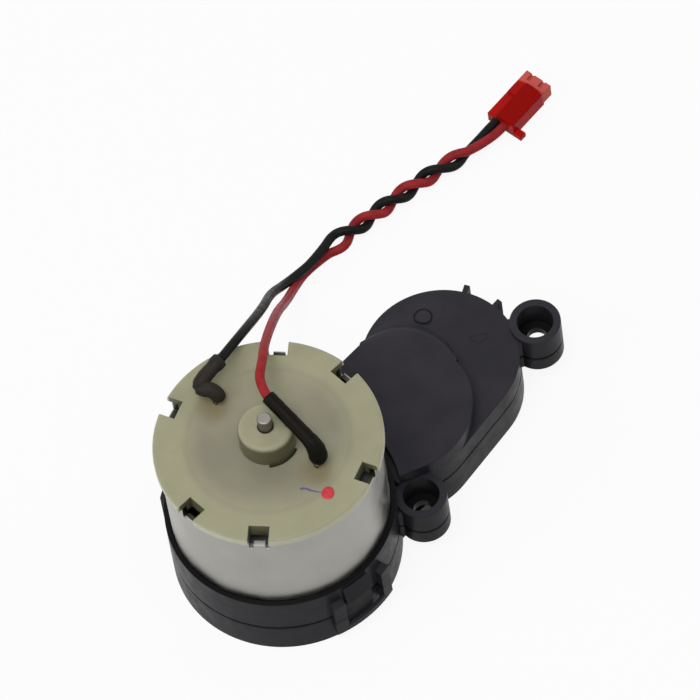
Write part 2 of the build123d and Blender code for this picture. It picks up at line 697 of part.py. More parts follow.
def brush_arm(place, side):
    """Add one sprung arm from its terminal to the commutator, on the given side in X."""
    terminal = from_motor(place)
    toward = 1 if place[1] > 0 else -1
    leg_y = terminal[1] - toward * (TERMINAL_T + ARM_T) / 2
    arm_x = MOTOR[0] + side * (COMMUTATOR_R + RUNNING_GAP + ARM_T / 2)
    leg_end = terminal[0] - side * TERMINAL_W / 2
    arm_end = -toward * ARM_REACH
    arm_start = leg_y + toward * ARM_T / 2
    block((arm_x, (arm_start + arm_end) / 2), ARM_T, abs(arm_start - arm_end), ARM_LOW, ARM_HIGH)
    far_x = arm_x + side * ARM_T / 2
    block(((leg_end + far_x) / 2, leg_y), abs(far_x - leg_end), ARM_T, ARM_LOW, ARM_HIGH)


with BuildPart() as brush_arm_black:
    brush_arm(TERMINAL_BLACK, 1)
brush_arm_black.part.label = "brush_arm_black"

with BuildPart() as brush_arm_red:
    brush_arm(TERMINAL_RED, -1)
brush_arm_red.part.label = "brush_arm_red"

with BuildPart() as front_bearing:
    drum(MOTOR, BEARING_R, NOSE_LOW, FRONT_BEARING_HIGH)
    drum(MOTOR, SHAFT_R + RUNNING_GAP, NOSE_LOW, FRONT_BEARING_HIGH, Mode.SUBTRACT)
front_bearing.part.label = "front_bearing"

with BuildPart() as rear_bearing:
    drum(MOTOR, BEARING_R, CAN_TOP, REAR_BEARING_HIGH)
    drum(MOTOR, SHAFT_R + RUNNING_GAP, CAN_TOP, REAR_BEARING_HIGH, Mode.SUBTRACT)
rear_bearing.part.label = "rear_bearing"

with BuildPart() as thrust_washers:
    for low in (FRONT_BEARING_HIGH, CAN_TOP - WASHER_T):
        drum(MOTOR, WASHER_R, low, low + WASHER_T)
        drum(MOTOR, SHAFT_R + RUNNING_GAP, low, low + WASHER_T, Mode.SUBTRACT)
thrust_washers.part.label = "thrust_washers"

with BuildPart() as motor_screws:
    for side in (-1, 1):
        hole = (MOTOR[0], side * SCREW_SPREAD)
        drum(hole, SCREW_HEAD_R, PLATE_UNDER - SCREW_HEAD_T, PLATE_UNDER)
        drum(hole, SCREW_R, PLATE_UNDER, SCREW_TIP)
        for turn in (0, 90):
            block(hole, SCREW_HEAD_R, SLOT_W, PLATE_UNDER - SCREW_HEAD_T,
                  PLATE_UNDER - SCREW_HEAD_T / 2, turn, Mode.SUBTRACT)
motor_screws.part.label = "motor_screws"

# Where two gears mesh, the pinion has a tooth on the line of centres and the wheel a gap
MOTOR_TO_FIRST = bearing_deg(MOTOR, FIRST)
FIRST_TO_SECOND = bearing_deg(FIRST, SECOND)
SECOND_TO_OUTPUT = bearing_deg(SECOND, OUTPUT)

with BuildPart() as motor_pinion:
    toothed(MOTOR, PINION_TEETH_MOTOR, MODULE_MOTOR, MOTOR_TO_FIRST, MOTOR_PINION_LOW,
            MOTOR_PINION_HIGH)
    drum(MOTOR, SHAFT_R, MOTOR_PINION_LOW, MOTOR_PINION_HIGH, Mode.SUBTRACT)
motor_pinion.part.label = "motor_pinion"

with BuildPart() as first_gear:
    toothed(FIRST, WHEEL_TEETH_FIRST, MODULE_MOTOR,
            MOTOR_TO_FIRST + 180 + 180 / WHEEL_TEETH_FIRST, FIRST_WHEEL_LOW, FIRST_WHEEL_HIGH)
    toothed(FIRST, PINION_TEETH_FIRST, MODULE_SECOND, FIRST_TO_SECOND, FIRST_WHEEL_HIGH,
            FIRST_PINION_HIGH)
    drum(FIRST, AXLE_R + RUNNING_GAP, FIRST_WHEEL_LOW, FIRST_PINION_HIGH, Mode.SUBTRACT)
first_gear.part.label = "first_gear"

with BuildPart() as second_gear:
    toothed(SECOND, WHEEL_TEETH_SECOND, MODULE_SECOND,
            FIRST_TO_SECOND + 180 + 180 / WHEEL_TEETH_SECOND, SECOND_WHEEL_LOW,
            SECOND_WHEEL_HIGH)
    toothed(SECOND, PINION_TEETH_SECOND, MODULE_OUTPUT, SECOND_TO_OUTPUT, SECOND_PINION_LOW,
            SECOND_WHEEL_LOW)
    drum(SECOND, SECOND_HUB_R, SECOND_WHEEL_HIGH, SECOND_HUB_HIGH)
    drum(SECOND, AXLE_R + RUNNING_GAP, SECOND_PINION_LOW, SECOND_HUB_HIGH, Mode.SUBTRACT)
second_gear.part.label = "second_gear"

with BuildPart() as output_gear:
    toothed(OUTPUT, WHEEL_TEETH_OUTPUT, MODULE_OUTPUT,
            SECOND_TO_OUTPUT + 180 + 180 / WHEEL_TEETH_OUTPUT, OUTPUT_WHEEL_LOW,
            OUTPUT_WHEEL_HIGH)
    drum(OUTPUT, OUTPUT_HUB_R, OUTPUT_LOW, OUTPUT_WHEEL_LOW)
    drum(OUTPUT, OUTPUT_HUB_R, OUTPUT_WHEEL_HIGH, OUTPUT_HUB_HIGH)
    block(OUTPUT, SOCKET_SIDE, SOCKET_SIDE, OUTPUT_LOW, SOCKET_TOP, 0, Mode.SUBTRACT)
    drum(OUTPUT, PIN_R + RUNNING_GAP, PIN_HOLE_LOW, OUTPUT_HUB_HIGH, Mode.SUBTRACT)
output_gear.part.label = "output_gear"

with BuildPart() as first_axle:
    drum(FIRST, AXLE_R, AXLE_BOTTOM, FIRST_AXLE_TOP)
first_axle.part.label = "first_axle"

with BuildPart() as second_axle:
    drum(SECOND, AXLE_R, AXLE_BOTTOM, SECOND_AXLE_TOP)
second_axle.part.label = "second_axle"

with BuildPart() as output_pin:
    drum(OUTPUT, PIN_R, PIN_LOW, PIN_TOP)
output_pin.part.label = "output_pin"


LEADS = {
    "black": (TERMINAL_BLACK, BEND_BLACK, ROUTE_BLACK, SLEEVE_RUN_BLACK),
    "red": (TERMINAL_RED, BEND_RED, ROUTE_RED, SLEEVE_RUN_RED),
}


def sleeve_line(colour):
    """Return the middle line of a sleeve in the part's frame."""
    terminal, bend, route, run = LEADS[colour]
    points = [terminal + (SLEEVE_FOOT,), bend, on_run(bend, route[0], run)]
    return tube_path([from_motor(point) for point in points], SLEEVE_R, f"sleeve_{colour}")


def add_terminal(colour):
    """Add a terminal strip with the bent lead end that fills its sleeve."""
    block(from_motor(LEADS[colour][0]), TERMINAL_W, TERMINAL_T, TERMINAL_LOW, SLEEVE_FOOT)
    line = sleeve_line(colour)
    with BuildSketch(Plane(origin=line @ 0, z_dir=line % 0)) as section:
        Circle(WIRE_R)
    sweep(section.sketch, path=line)


def add_sleeve(colour):
    """Add one insulating sleeve."""
    line = sleeve_line(colour)
    with BuildSketch(Plane(origin=line @ 0, z_dir=line % 0)) as section:
        Circle(SLEEVE_R)
        Circle(WIRE_R + SLEEVE_FIT, mode=Mode.SUBTRACT)
    sweep(section.sketch, path=line)


def add_wire(colour, side):
    """Add one single lead from its sleeve to its side of the twisted stretch."""
    _, bend, route, run = LEADS[colour]
    across = bearing_deg(PAIR_START, PAIR_ROUTE[0]) + 90
    offset = side * WIRE_R * cos(radians(PAIR_LEAN_DEG))
    rise = side * WIRE_R * sin(radians(PAIR_LEAN_DEG))
    end = polar(PAIR_START, offset, across) + (PAIR_R + rise,)
    ahead = polar(PAIR_ROUTE[0], offset, across) + (PAIR_R + rise,)
    lead_in = on_run(end, ahead, -LEAD_IN)
    points = [on_run(bend, route[0], run), *route, lead_in, end]
    tube([from_motor(point) for point in points], WIRE_R, f"wire_{colour}")


with BuildPart() as terminal_black:
    add_terminal("black")
terminal_black.part.label = "terminal_black"

with BuildPart() as terminal_red:
    add_terminal("red")
terminal_red.part.label = "terminal_red"

with BuildPart() as sleeve_black:
    add_sleeve("black")
sleeve_black.part.label = "sleeve_black"

with BuildPart() as sleeve_red:
    add_sleeve("red")
sleeve_red.part.label = "sleeve_red"

with BuildPart() as wire_black:
    add_wire("black", 1)
wire_black.part.label = "wire_black"

with BuildPart() as wire_red:
    add_wire("red", -1)
wire_red.part.label = "wire_red"

with BuildPart() as wire_pair:
    pair_points = [point + (PAIR_R,) for point in (PAIR_START, *PAIR_ROUTE, CONNECTOR_NEAR)]
    tube([from_motor(point) for point in pair_points], PAIR_R, "wire_pair")
wire_pair.part.label = "wire_pair"

CONNECTOR_ORIGIN = from_motor(CONNECTOR_NEAR) + (0,)
CONNECTOR_AXIS = polar(OUTPUT, 1, CONNECTOR_TURN) + (0,)
CONNECTOR_PLANE = Plane(origin=CONNECTOR_ORIGIN, x_dir=CONNECTOR_AXIS, z_dir=(0, 0, 1))
END_PLANE = Plane(
    origin=CONNECTOR_ORIGIN,
    x_dir=polar(OUTPUT, 1, CONNECTOR_TURN + 90) + (0,),
    z_dir=CONNECTOR_AXIS,
)


def contact_places():
    """Return the two contact positions across the connector, as points of its end plane."""
    return [(side * CONTACT_PITCH / 2, CONTACT_Z) for side in (-1, 1)]


with BuildPart() as connector_housing:
    with BuildSketch(CONNECTOR_PLANE) as base:
        with Locations((CONNECTOR_MAIN_L / 2, 0)):
            Rectangle(CONNECTOR_MAIN_L, CONNECTOR_W)
    extrude(amount=CONNECTOR_LEDGE_H)
    with BuildSketch(CONNECTOR_PLANE) as raised:
        with Locations((CONNECTOR_MAIN_L / 2, -CONNECTOR_LEDGE_W / 2)):
            Rectangle(CONNECTOR_MAIN_L, CONNECTOR_W - CONNECTOR_LEDGE_W)
    extrude(amount=CONNECTOR_H)
    with BuildSketch(CONNECTOR_PLANE) as nose:
        with Locations((CONNECTOR_L - CONNECTOR_L / 4, 0)):
            Rectangle(CONNECTOR_L / 2, CONNECTOR_W - 2 * CONNECTOR_NOSE_INSET)
    extrude(amount=CONNECTOR_NOSE_H)
    with BuildSketch(CONNECTOR_PLANE.offset(CONNECTOR_NOSE_H)) as nose_slots:
        with Locations([(CONNECTOR_L, side * CONTACT_PITCH / 2) for side in (-1, 1)]):
            Rectangle(2 * NOSE_SLOT_L, NOSE_SLOT_W)
    extrude(amount=-NOSE_SLOT_DEPTH, mode=Mode.SUBTRACT)
    with BuildSketch(CONNECTOR_PLANE) as lip:
        with Locations((CONNECTOR_LIP_L / 2, -CONNECTOR_LIP / 2)):
            Rectangle(CONNECTOR_LIP_L, CONNECTOR_W + CONNECTOR_LIP)
    extrude(amount=CONNECTOR_LIP_H)
    with BuildSketch(END_PLANE.offset(CONNECTOR_L)) as mouths:
        with Locations(contact_places()):
            Rectangle(CONTACT_SIDE + 2 * CONTACT_GAP, CONTACT_SIDE + 2 * CONTACT_GAP)
    extrude(amount=-CONTACT_L - CONTACT_SETBACK, mode=Mode.SUBTRACT)
connector_housing.part.label = "connector_housing"

with BuildPart() as connector_contacts:
    with BuildSketch(END_PLANE.offset(CONNECTOR_L - CONTACT_SETBACK)) as boxes:
        with Locations(contact_places()):
            Rectangle(CONTACT_SIDE, CONTACT_SIDE)
            Rectangle(CONTACT_SIDE - 2 * CONTACT_WALL, CONTACT_SIDE - 2 * CONTACT_WALL,
                      mode=Mode.SUBTRACT)
    extrude(amount=-CONTACT_L)
connector_contacts.part.label = "connector_contacts"

for node in (
    lower_housing, upper_housing, motor_can, end_cap, magnet_front, magnet_back, armature_core,
    windings, motor_shaft, commutator, brush_arm_black, brush_arm_red, front_bearing,
    rear_bearing, thrust_washers, motor_screws, motor_pinion, first_gear, second_gear,
    output_gear, first_axle, second_axle, output_pin, terminal_black, terminal_red,
    sleeve_black, sleeve_red, wire_black, wire_red, wire_pair, connector_housing,
    connector_contacts,
):
    export_step(node.part, f"parts/{node.part.label}.step")
    print(f"{node.part.label}: {node.part.volume:.2f} mm3, {len(node.part.solids())} solids")
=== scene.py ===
"""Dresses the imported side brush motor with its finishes, leads, sleeves, marks and studio."""

import logging
import math
from dataclasses import dataclass, field
from enum import Enum

import bmesh
import bpy
from mathutils import Matrix, Vector


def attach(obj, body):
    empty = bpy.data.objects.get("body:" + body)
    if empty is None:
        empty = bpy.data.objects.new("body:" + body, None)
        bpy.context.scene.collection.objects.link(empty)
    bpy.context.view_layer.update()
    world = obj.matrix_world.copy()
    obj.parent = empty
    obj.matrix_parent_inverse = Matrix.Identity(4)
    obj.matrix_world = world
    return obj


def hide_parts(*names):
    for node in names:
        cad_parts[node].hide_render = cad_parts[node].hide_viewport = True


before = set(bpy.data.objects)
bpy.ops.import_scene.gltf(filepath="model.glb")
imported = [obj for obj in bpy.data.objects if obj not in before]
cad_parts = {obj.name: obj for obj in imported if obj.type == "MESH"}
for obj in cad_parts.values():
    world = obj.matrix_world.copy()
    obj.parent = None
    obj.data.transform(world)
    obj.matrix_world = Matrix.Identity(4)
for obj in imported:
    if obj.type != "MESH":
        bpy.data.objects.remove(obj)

MM = 0.001
MOTOR_X = -32.701
Point = tuple[float, float, float]
Colour = tuple[float, float, float]

log = logging.getLogger("side_brush_motor")


def from_motor(point: Point) -> Vector:
    """Place a point that is counted from the motor axis in millimetres.

    Args:
        point: Distances from the foot of the motor axis.

    Returns:
        The point in the shared frame, in metres.
    """
    return Vector((point[0] + MOTOR_X, point[1], point[2])) * MM


MOTOR_FOOT = from_motor((0.0, 0.0, 0.0))
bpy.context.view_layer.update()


class Body(Enum):
    """The body that carries the pieces built here."""

    HOUSING = "housing"


class Lead(Enum):
    """The two leads of the motor."""

    BLACK = "black"
    RED = "red"


class Shading:
    """A small builder of shader nodes for one material."""

    def __init__(self, name: str) -> None:
        """Start a material with one surface shader.

        Args:
            name: Name of the material.
        """
        self.material = bpy.data.materials.new(name)
        self.material.use_nodes = True
        self.tree = self.material.node_tree
        self.surface = self.tree.nodes["Principled BSDF"]
        self.place = self.node("ShaderNodeTexCoord").outputs["Object"]

    def node(self, kind: str, **values: object) -> bpy.types.Node:
        """Add a node and set its plain properties.

        Args:
            kind: Node type.
            **values: Properties to set.

        Returns:
            The new node.
        """
        made = self.tree.nodes.new(kind)
        for key, value in values.items():
            setattr(made, key, value)
        return made

    def join(self, source: bpy.types.NodeSocket, target: bpy.types.NodeSocket) -> None:
        """Link one socket to another."""
        self.tree.links.new(source, target)

    def fixed(self, **values: object) -> None:
        """Set constants on the shader's own sockets, with underscores for spaces."""
        for key, value in values.items():
            self.surface.inputs[key.replace("_", " ")].default_value = value

    def stretched(self, scale: Point) -> bpy.types.NodeSocket:
        """Scale the surface coordinate along each axis.

        Args:
            scale: Factor along each axis.

        Returns:
            The scaled coordinate.
        """
        mapping = self.node("ShaderNodeMapping")
        mapping.inputs["Scale"].default_value = scale
        self.join(self.place, mapping.inputs["Vector"])
        return mapping.outputs["Vector"]

    def noise(
        self, size: float, detail: float = 4.0, where: bpy.types.NodeSocket | None = None
    ) -> bpy.types.NodeSocket:
        """Add a noise whose grain has a real size.

        Args:
            size: Size of the grain in metres.
            detail: Number of finer layers.
            where: Coordinate to read, or the plain one.

        Returns:
            The noise value.
        """
        made = self.node("ShaderNodeTexNoise")
        made.inputs["Scale"].default_value = 1.0 / size
        made.inputs["Detail"].default_value = detail
        self.join(where or self.place, made.inputs["Vector"])
        return made.outputs["Fac"]

    def shades(
        self, value: bpy.types.NodeSocket, stops: list[tuple[float, Colour]]
    ) -> bpy.types.NodeSocket:
        """Turn a value into colours.

        Args:
            value: Value to read.
            stops: Positions and colours of the ramp.

        Returns:
            The colour.
        """
        ramp = self.node("ShaderNodeValToRGB")
        elements = ramp.color_ramp.elements
        while len(elements) < len(stops):
            elements.new(0.5)
        for element, (position, colour) in zip(elements, stops):
            element.position = position
            element.color = (*colour, 1.0)
        self.join(value, ramp.inputs["Fac"])
        return ramp.outputs["Color"]

    def levels(
        self, value: bpy.types.NodeSocket, low: float, high: float, out: tuple[float, float]
    ) -> bpy.types.NodeSocket:
        """Map a value from one range to another, eased and clamped.

        Args:
            value: Value to read.
            low: Start of the range.
            high: End of the range.
            out: What the start and the end become.

        Returns:
            The mapped value.
        """
        made = self.node("ShaderNodeMapRange", interpolation_type="SMOOTHSTEP")
        made.inputs["From Min"].default_value = low
        made.inputs["From Max"].default_value = high
        made.inputs["To Min"].default_value = out[0]
        made.inputs["To Max"].default_value = out[1]
        self.join(value, made.inputs["Value"])
        return made.outputs["Result"]

    def blend(
        self, factor: bpy.types.NodeSocket, under: bpy.types.NodeSocket, colour: Colour
    ) -> bpy.types.NodeSocket:
        """Lay a plain colour over another by a factor.

        Args:
            factor: How much of the plain colour shows.
            under: Colour beneath.
            colour: Plain colour.

        Returns:
            The blended colour.
        """
        made = self.node("ShaderNodeMix", data_type="RGBA")
        self.join(factor, made.inputs[0])
        self.join(under, made.inputs[6])
        made.inputs[7].default_value = (*colour, 1.0)
        return made.outputs[2]

    def distance(self, centre: Vector, flat: bool = True) -> bpy.types.NodeSocket:
        """Measure how far the surface is from a point or from an upright axis.

        Args:
            centre: The point in metres.
            flat: Whether height is left out.

        Returns:
            The distance in metres.
        """
        moved = self.node("ShaderNodeVectorMath", operation="SUBTRACT")
        self.join(self.place, moved.inputs[0])
        moved.inputs[1].default_value = centre
        kept = self.node("ShaderNodeVectorMath", operation="MULTIPLY")
        self.join(moved.outputs[0], kept.inputs[0])
        kept.inputs[1].default_value = (1.0, 1.0, 0.0 if flat else 1.0)
        length = self.node("ShaderNodeVectorMath", operation="LENGTH")
        self.join(kept.outputs[0], length.inputs[0])
        return length.outputs["Value"]

    def band(
        self,
        value: bpy.types.NodeSocket,
        rise: tuple[float, float],
        fall: tuple[float, float],
        most: float,
    ) -> bpy.types.NodeSocket:
        """Return a factor that rises and falls again over a value.

        Args:
            value: Value to read.
            rise: Where it starts to rise and where it is full.
            fall: Where it starts to fall and where it is gone.
            most: The full factor.

        Returns:
            The factor.
        """
        risen = self.levels(value, *rise, (0.0, 1.0))
        return self.product(risen, self.levels(value, *fall, (most, 0.0)))

    def product(
        self, first: bpy.types.NodeSocket, second: bpy.types.NodeSocket
    ) -> bpy.types.NodeSocket:
        """Multiply two values.

        Args:
            first: One value.
            second: The other value.

        Returns:
            Their product.
        """
        made = self.node("ShaderNodeMath", operation="MULTIPLY")
        self.join(first, made.inputs[0])
        self.join(second, made.inputs[1])
        return made.outputs[0]

    def facing_up(self) -> bpy.types.NodeSocket:
        """Measure how far the surface faces upwards.

        Returns:
            One for a level top and nothing for an upright wall.
        """
        split = self.node("ShaderNodeSeparateXYZ")
        self.join(self.node("ShaderNodeNewGeometry").outputs["Normal"], split.inputs[0])
        return split.outputs["Z"]

    def height(self) -> bpy.types.NodeSocket:
        """Measure the height of the surface above the floor.

        Returns:
            The height in metres.
        """
        split = self.node("ShaderNodeSeparateXYZ")
        self.join(self.place, split.inputs[0])
        return split.outputs["Z"]

    def relief(
        self, value: bpy.types.NodeSocket, depth: float, edge: float = 0.0, strength: float = 1.0
    ) -> None:
        """Give the surface a fine relief and softened edges.

        Args:
            value: Height pattern.
            depth: Depth of the relief in metres.
            edge: Radius by which edges look rounded, in metres.
            strength: Strength of the relief.
        """
        bump = self.node("ShaderNodeBump")
        bump.inputs["Distance"].default_value = depth
        bump.inputs["Strength"].default_value = strength
        self.join(value, bump.inputs["Height"])
        if edge:
            soft = self.node("ShaderNodeBevel", samples=4)
            soft.inputs["Radius"].default_value = edge
            self.join(soft.outputs["Normal"], bump.inputs["Normal"])
        self.join(bump.outputs["Normal"], self.surface.inputs["Normal"])

    def colour(self, socket: bpy.types.NodeSocket) -> None:
        """Use a socket as the base colour."""
        self.join(socket, self.surface.inputs["Base Color"])

    def roughness(self, socket: bpy.types.NodeSocket) -> None:
        """Use a socket as the roughness."""
        self.join(socket, self.surface.inputs["Roughness"])


def toned(colour: Colour, factor: float) -> Colour:
    """Return a colour made lighter or darker by a factor."""
    return tuple(min(1.0, part * factor) for part in colour)


@dataclass(frozen=True)
class Finish:
    """What every finish has: a name, the record's slot and a main colour."""

    name: str
    slot: str
    base: Colour

    def material(self) -> bpy.types.Material:
        """Make the material, once.

        Returns:
            The material.
        """
        known = bpy.data.materials.get(self.name)
        if known:
            return known
        shading = Shading(self.name)
        self.paint(shading)
        return shading.material

    def paint(self, shading: Shading) -> None:
        """Fill in the nodes of the finish.

        Args:
            shading: Builder of the material's nodes.
        """
        raise NotImplementedError

    def mottled(
        self,
        shading: Shading,
        pattern: bpy.types.NodeSocket,
        dark: tuple[float, float],
        light: tuple[float, float],
    ) -> bpy.types.NodeSocket:
        """Make the main colour darker and lighter by a pattern.

        Args:
            shading: Builder of the material's nodes.
            pattern: Pattern to follow.
            dark: Place on the pattern and factor of the darker shade.
            light: Place on the pattern and factor of the lighter shade.

        Returns:
            The colour.
        """
        stops = [(place, toned(self.base, factor)) for place, factor in (dark, light)]
        return shading.shades(pattern, stops)


@dataclass(frozen=True)
class MouldedPlastic(Finish):
    """Moulded plastic with a fine spark-eroded grain, flow shades and soft edges."""

    grain: float = 0.00012
    depth: float = 0.000012
    rough: tuple[float, float] = (0.36, 0.5)
    edge: float = 0.00014
    gloss: float = 0.5
    sheen_through: float = 0.0

    def paint(self, shading: Shading) -> None:
        """Fill in the nodes of the finish.

        Args:
            shading: Builder of the material's nodes.
        """
        flow = shading.noise(0.006, 3.0)
        shading.colour(self.mottled(shading, flow, (0.3, 0.86), (0.7, 1.14)))
        shading.roughness(
            shading.levels(shading.noise(0.0022, 5.0), 0.3, 0.7, self.rough)
        )
        shading.relief(shading.noise(self.grain, 2.0), self.depth, self.edge)
        shading.fixed(Specular_IOR_Level=self.gloss)
        if self.sheen_through:
            shading.fixed(Subsurface_Weight=self.sheen_through, Subsurface_Scale=0.0015)
            shading.fixed(Subsurface_Radius=self.base)


@dataclass(frozen=True)
class ShellPlastic(MouldedPlastic):
    """Black shell plastic with painted shade on walls, along the seam, round the can and behind
    hooks.
    """

    rough: tuple[float, float] = (0.3, 0.42)
    gloss: float = 0.05
    # Painted shadow colour, used round the can, along the seam and behind the hooks.
    shade: Colour = (0.006, 0.006, 0.0065)
    # Painted shade: the colour that upright walls are blended to, darker than the tops.
    wall_shade: Colour = (0.0165, 0.016, 0.0185)
    wall_facing: tuple[float, float] = (0.2, 0.6)
    wall_share: float = 0.85
    rim_radii: tuple[float, float] = (0.0163, 0.01645)
    rim_shade_heights: tuple[float, float] = (0.01165, 0.01195)
    # Painted shade in the groove of the parting seam, by height.
    seam_shade_rise: tuple[float, float] = (0.00495, 0.00505)
    seam_shade_fall: tuple[float, float] = (0.00595, 0.00599)
    seam_shade_share: float = 0.9
    # Painted shadow behind the snap hooks: a dark band at their height, all round the lower shell.
    hook_shadow_rise: tuple[float, float] = (0.0057, 0.00575)
    hook_shadow_fall: tuple[float, float] = (0.0082, 0.0084)
    hook_shadow_share: float = 0.85
    hook_shadow: bool = False

    def paint(self, shading: Shading) -> None:
        """Fill in the nodes of the finish.

        Args:
            shading: Builder of the material's nodes.
        """
        super().paint(shading)
        shade = shading.surface.inputs["Base Color"].links[0].from_socket
        # Painted shade on faces that stand upright.
        upright = shading.levels(
            shading.facing_up(), *self.wall_facing, (self.wall_share, 0.0)
        )
        shade = shading.blend(upright, shade, self.wall_shade)
        height = shading.height()
        radius = shading.distance(MOTOR_FOOT)
        # Painted shadow on the shell round the can, where the can shades it.
        rim = shading.product(
            shading.levels(radius, *self.rim_radii, (1.0, 0.0)),
            shading.levels(height, *self.rim_shade_heights, (0.0, 1.0)),
        )
        shade = shading.blend(rim, shade, self.shade)
        # Painted shade along the seam groove.
        seam_shade = shading.band(height, self.seam_shade_rise, self.seam_shade_fall, self.seam_shade_share)
        shade = shading.blend(seam_shade, shade, self.shade)
        # Painted shadow in the latch windows under the hooks.
        if self.hook_shadow:
            hook_shadow_band = shading.band(height, self.hook_shadow_rise, self.hook_shadow_fall, self.hook_shadow_share)
            shade = shading.blend(hook_shadow_band, shade, self.shade)
        shading.colour(shade)


@dataclass(frozen=True)
class CapPlastic(Finish):
    """The pale see-through end cap: greyer middle, stained feet, painted wall shade and rim
    highlight.
    """

    middle: Colour = (0.2, 0.185, 0.14)
    # Painted shade on upright faces inside the rim: notch walls and the side of the boss.
    inner_wall_shade: Colour = (0.09, 0.085, 0.045)
    stained: Colour = (0.18, 0.14, 0.065)
    # Painted highlight on the outer rim wall, where its rounded edge catches the light.
    rim: Colour = (0.6, 0.6, 0.5)
    stains: tuple[Point, Point] = ((-1.0, 9.3, 29.6), (0.8, -8.5, 29.6))
    stain_reach: tuple[float, float] = (0.0006, 0.0036)
    stain_share: float = 0.62
    middle_radii: tuple[float, float] = (0.0085, 0.0128)
    middle_share: float = 0.85
    boss_heights: tuple[float, float] = (0.0325, 0.0332)
    # Painted shade line for the shading of a low ridge about 11 mm from the axis.
    ridge_shade_rise: tuple[float, float] = (0.0108, 0.0112)
    ridge_shade_fall: tuple[float, float] = (0.0113, 0.0121)
    ridge_shade_share: float = 0.22
    notch_radii: tuple[float, float] = (0.0156, 0.0158)
    rim_radii: tuple[float, float] = (0.0156, 0.0159)
    rim_highlight_share: float = 0.6
    wall_facing: tuple[float, float] = (0.2, 0.9)
    wall_share: float = 0.85

    def paint(self, shading: Shading) -> None:
        """Fill in the nodes of the finish.

        Args:
            shading: Builder of the material's nodes.
        """
        radius = shading.distance(MOTOR_FOOT)
        shade = self.mottled(shading, shading.noise(0.004, 4.0), (0.3, 0.94), (0.7, 1.05))
        below_boss = shading.levels(shading.height(), *self.boss_heights, (1.0, 0.0))
        drift = shading.levels(shading.noise(0.011, 2.0), 0.3, 0.7, (0.45, 1.0))
        near_axis = shading.levels(radius, *self.middle_radii, (self.middle_share, 0.0))
        zone = shading.product(near_axis, drift)
        shade = shading.blend(shading.product(zone, below_boss), shade, self.middle)
        # Painted shade line at the low ridge.
        ring = shading.band(radius, self.ridge_shade_rise, self.ridge_shade_fall, self.ridge_shade_share)
        shade = shading.blend(ring, shade, self.middle)
        for stain in self.stains:
            away = shading.distance(from_motor(stain))
            near = shading.levels(away, *self.stain_reach, (self.stain_share, 0.0))
            shade = shading.blend(near, shade, self.stained)
        # Upright faces get painted shade inside the rim and a painted highlight outside it.
        upright = shading.levels(
            shading.facing_up(), *self.wall_facing, (self.wall_share, 0.0)
        )
        inside = shading.levels(radius, *self.notch_radii, (1.0, 0.0))
        shade = shading.blend(shading.product(upright, inside), shade, self.inner_wall_shade)
        # Painted highlight on the outer rim wall.
        outside = shading.levels(radius, *self.rim_radii, (0.0, self.rim_highlight_share))
        shade = shading.blend(shading.product(upright, outside), shade, self.rim)
        shading.colour(shade)
        shading.roughness(shading.levels(shading.noise(0.0015, 5.0), 0.3, 0.7, (0.34, 0.46)))
        shading.relief(shading.noise(0.0009, 3.0), 0.000015, 0.0003)
        shading.fixed(Subsurface_Weight=0.25, Subsurface_Scale=0.0016)
        shading.fixed(Subsurface_Radius=(1.0, 0.95, 0.6), Specular_IOR_Level=0.2)


@dataclass(frozen=True)
class ConnectorPlastic(Finish):
    """Clear-tinted red plastic: painted shade above the ledge, painted highlight on the nose."""

    # Painted shade: deeper red for the faces above the ledge, which look darker in the light.
    top_shade: Colour = (0.22, 0.0015, 0.0005)
    # Painted highlight: lighter, pinker colour for the far end, standing in for its glossy
    # reflection.
    nose_highlight: Colour = (0.5, 0.1, 0.08)
    near_end: Point = (70.3, 23.5, 0.0)
    top_shade_heights: tuple[float, float] = (0.0022, 0.0028)
    nose_highlight_reach: tuple[float, float] = (0.0069, 0.0073)
    nose_highlight_share: float = 0.8

    def paint(self, shading: Shading) -> None:
        """Fill in the nodes of the finish.

        Args:
            shading: Builder of the material's nodes.
        """
        cloud = shading.noise(0.0012, 4.0)
        shade = self.mottled(shading, cloud, (0.3, 0.85), (0.7, 1.12))
        # Painted shade on faces higher than the ledge.
        high = shading.levels(shading.height(), *self.top_shade_heights, (0.0, 1.0))
        shade = shading.blend(high, shade, self.top_shade)
        # Painted highlight towards the nose, by distance from the near end.
        along = shading.distance(from_motor(self.near_end))
        far = shading.levels(along, *self.nose_highlight_reach, (0.0, self.nose_highlight_share))
        shading.colour(shading.blend(far, shade, self.nose_highlight))
        shading.roughness(shading.levels(cloud, 0.3, 0.7, (0.26, 0.38)))
        shading.relief(shading.noise(0.0004, 3.0), 0.00001, 0.00025)
        shading.fixed(Specular_IOR_Level=0.035)


@dataclass(frozen=True)
class DrawnSteel(Finish):
    """Plated or bare steel with drawing lines along one axis and faint clouding."""

    stretch: Point = (1.0, 1.0, 0.05)
    line: float = 0.00025
    depth: float = 0.000004
    rough: tuple[float, float] = (0.3, 0.42)
    edge: float = 0.0002
    metal: float = 1.0

    def clouded(self, shading: Shading, cloud: bpy.types.NodeSocket) -> bpy.types.NodeSocket:
        """Return the steel's colour with its faint clouding."""
        return self.mottled(shading, cloud, (0.3, 0.9), (0.7, 1.08))

    def paint(self, shading: Shading) -> None:
        """Fill in the nodes of the finish.

        Args:
            shading: Builder of the material's nodes.
        """
        lines = shading.noise(self.line, 3.0, shading.stretched(self.stretch))
        cloud = shading.noise(0.005, 4.0)
        shading.colour(self.clouded(shading, cloud))
        shading.roughness(shading.levels(cloud, 0.3, 0.7, self.rough))
        shading.relief(lines, self.depth, self.edge)
        shading.fixed(Metallic=self.metal)


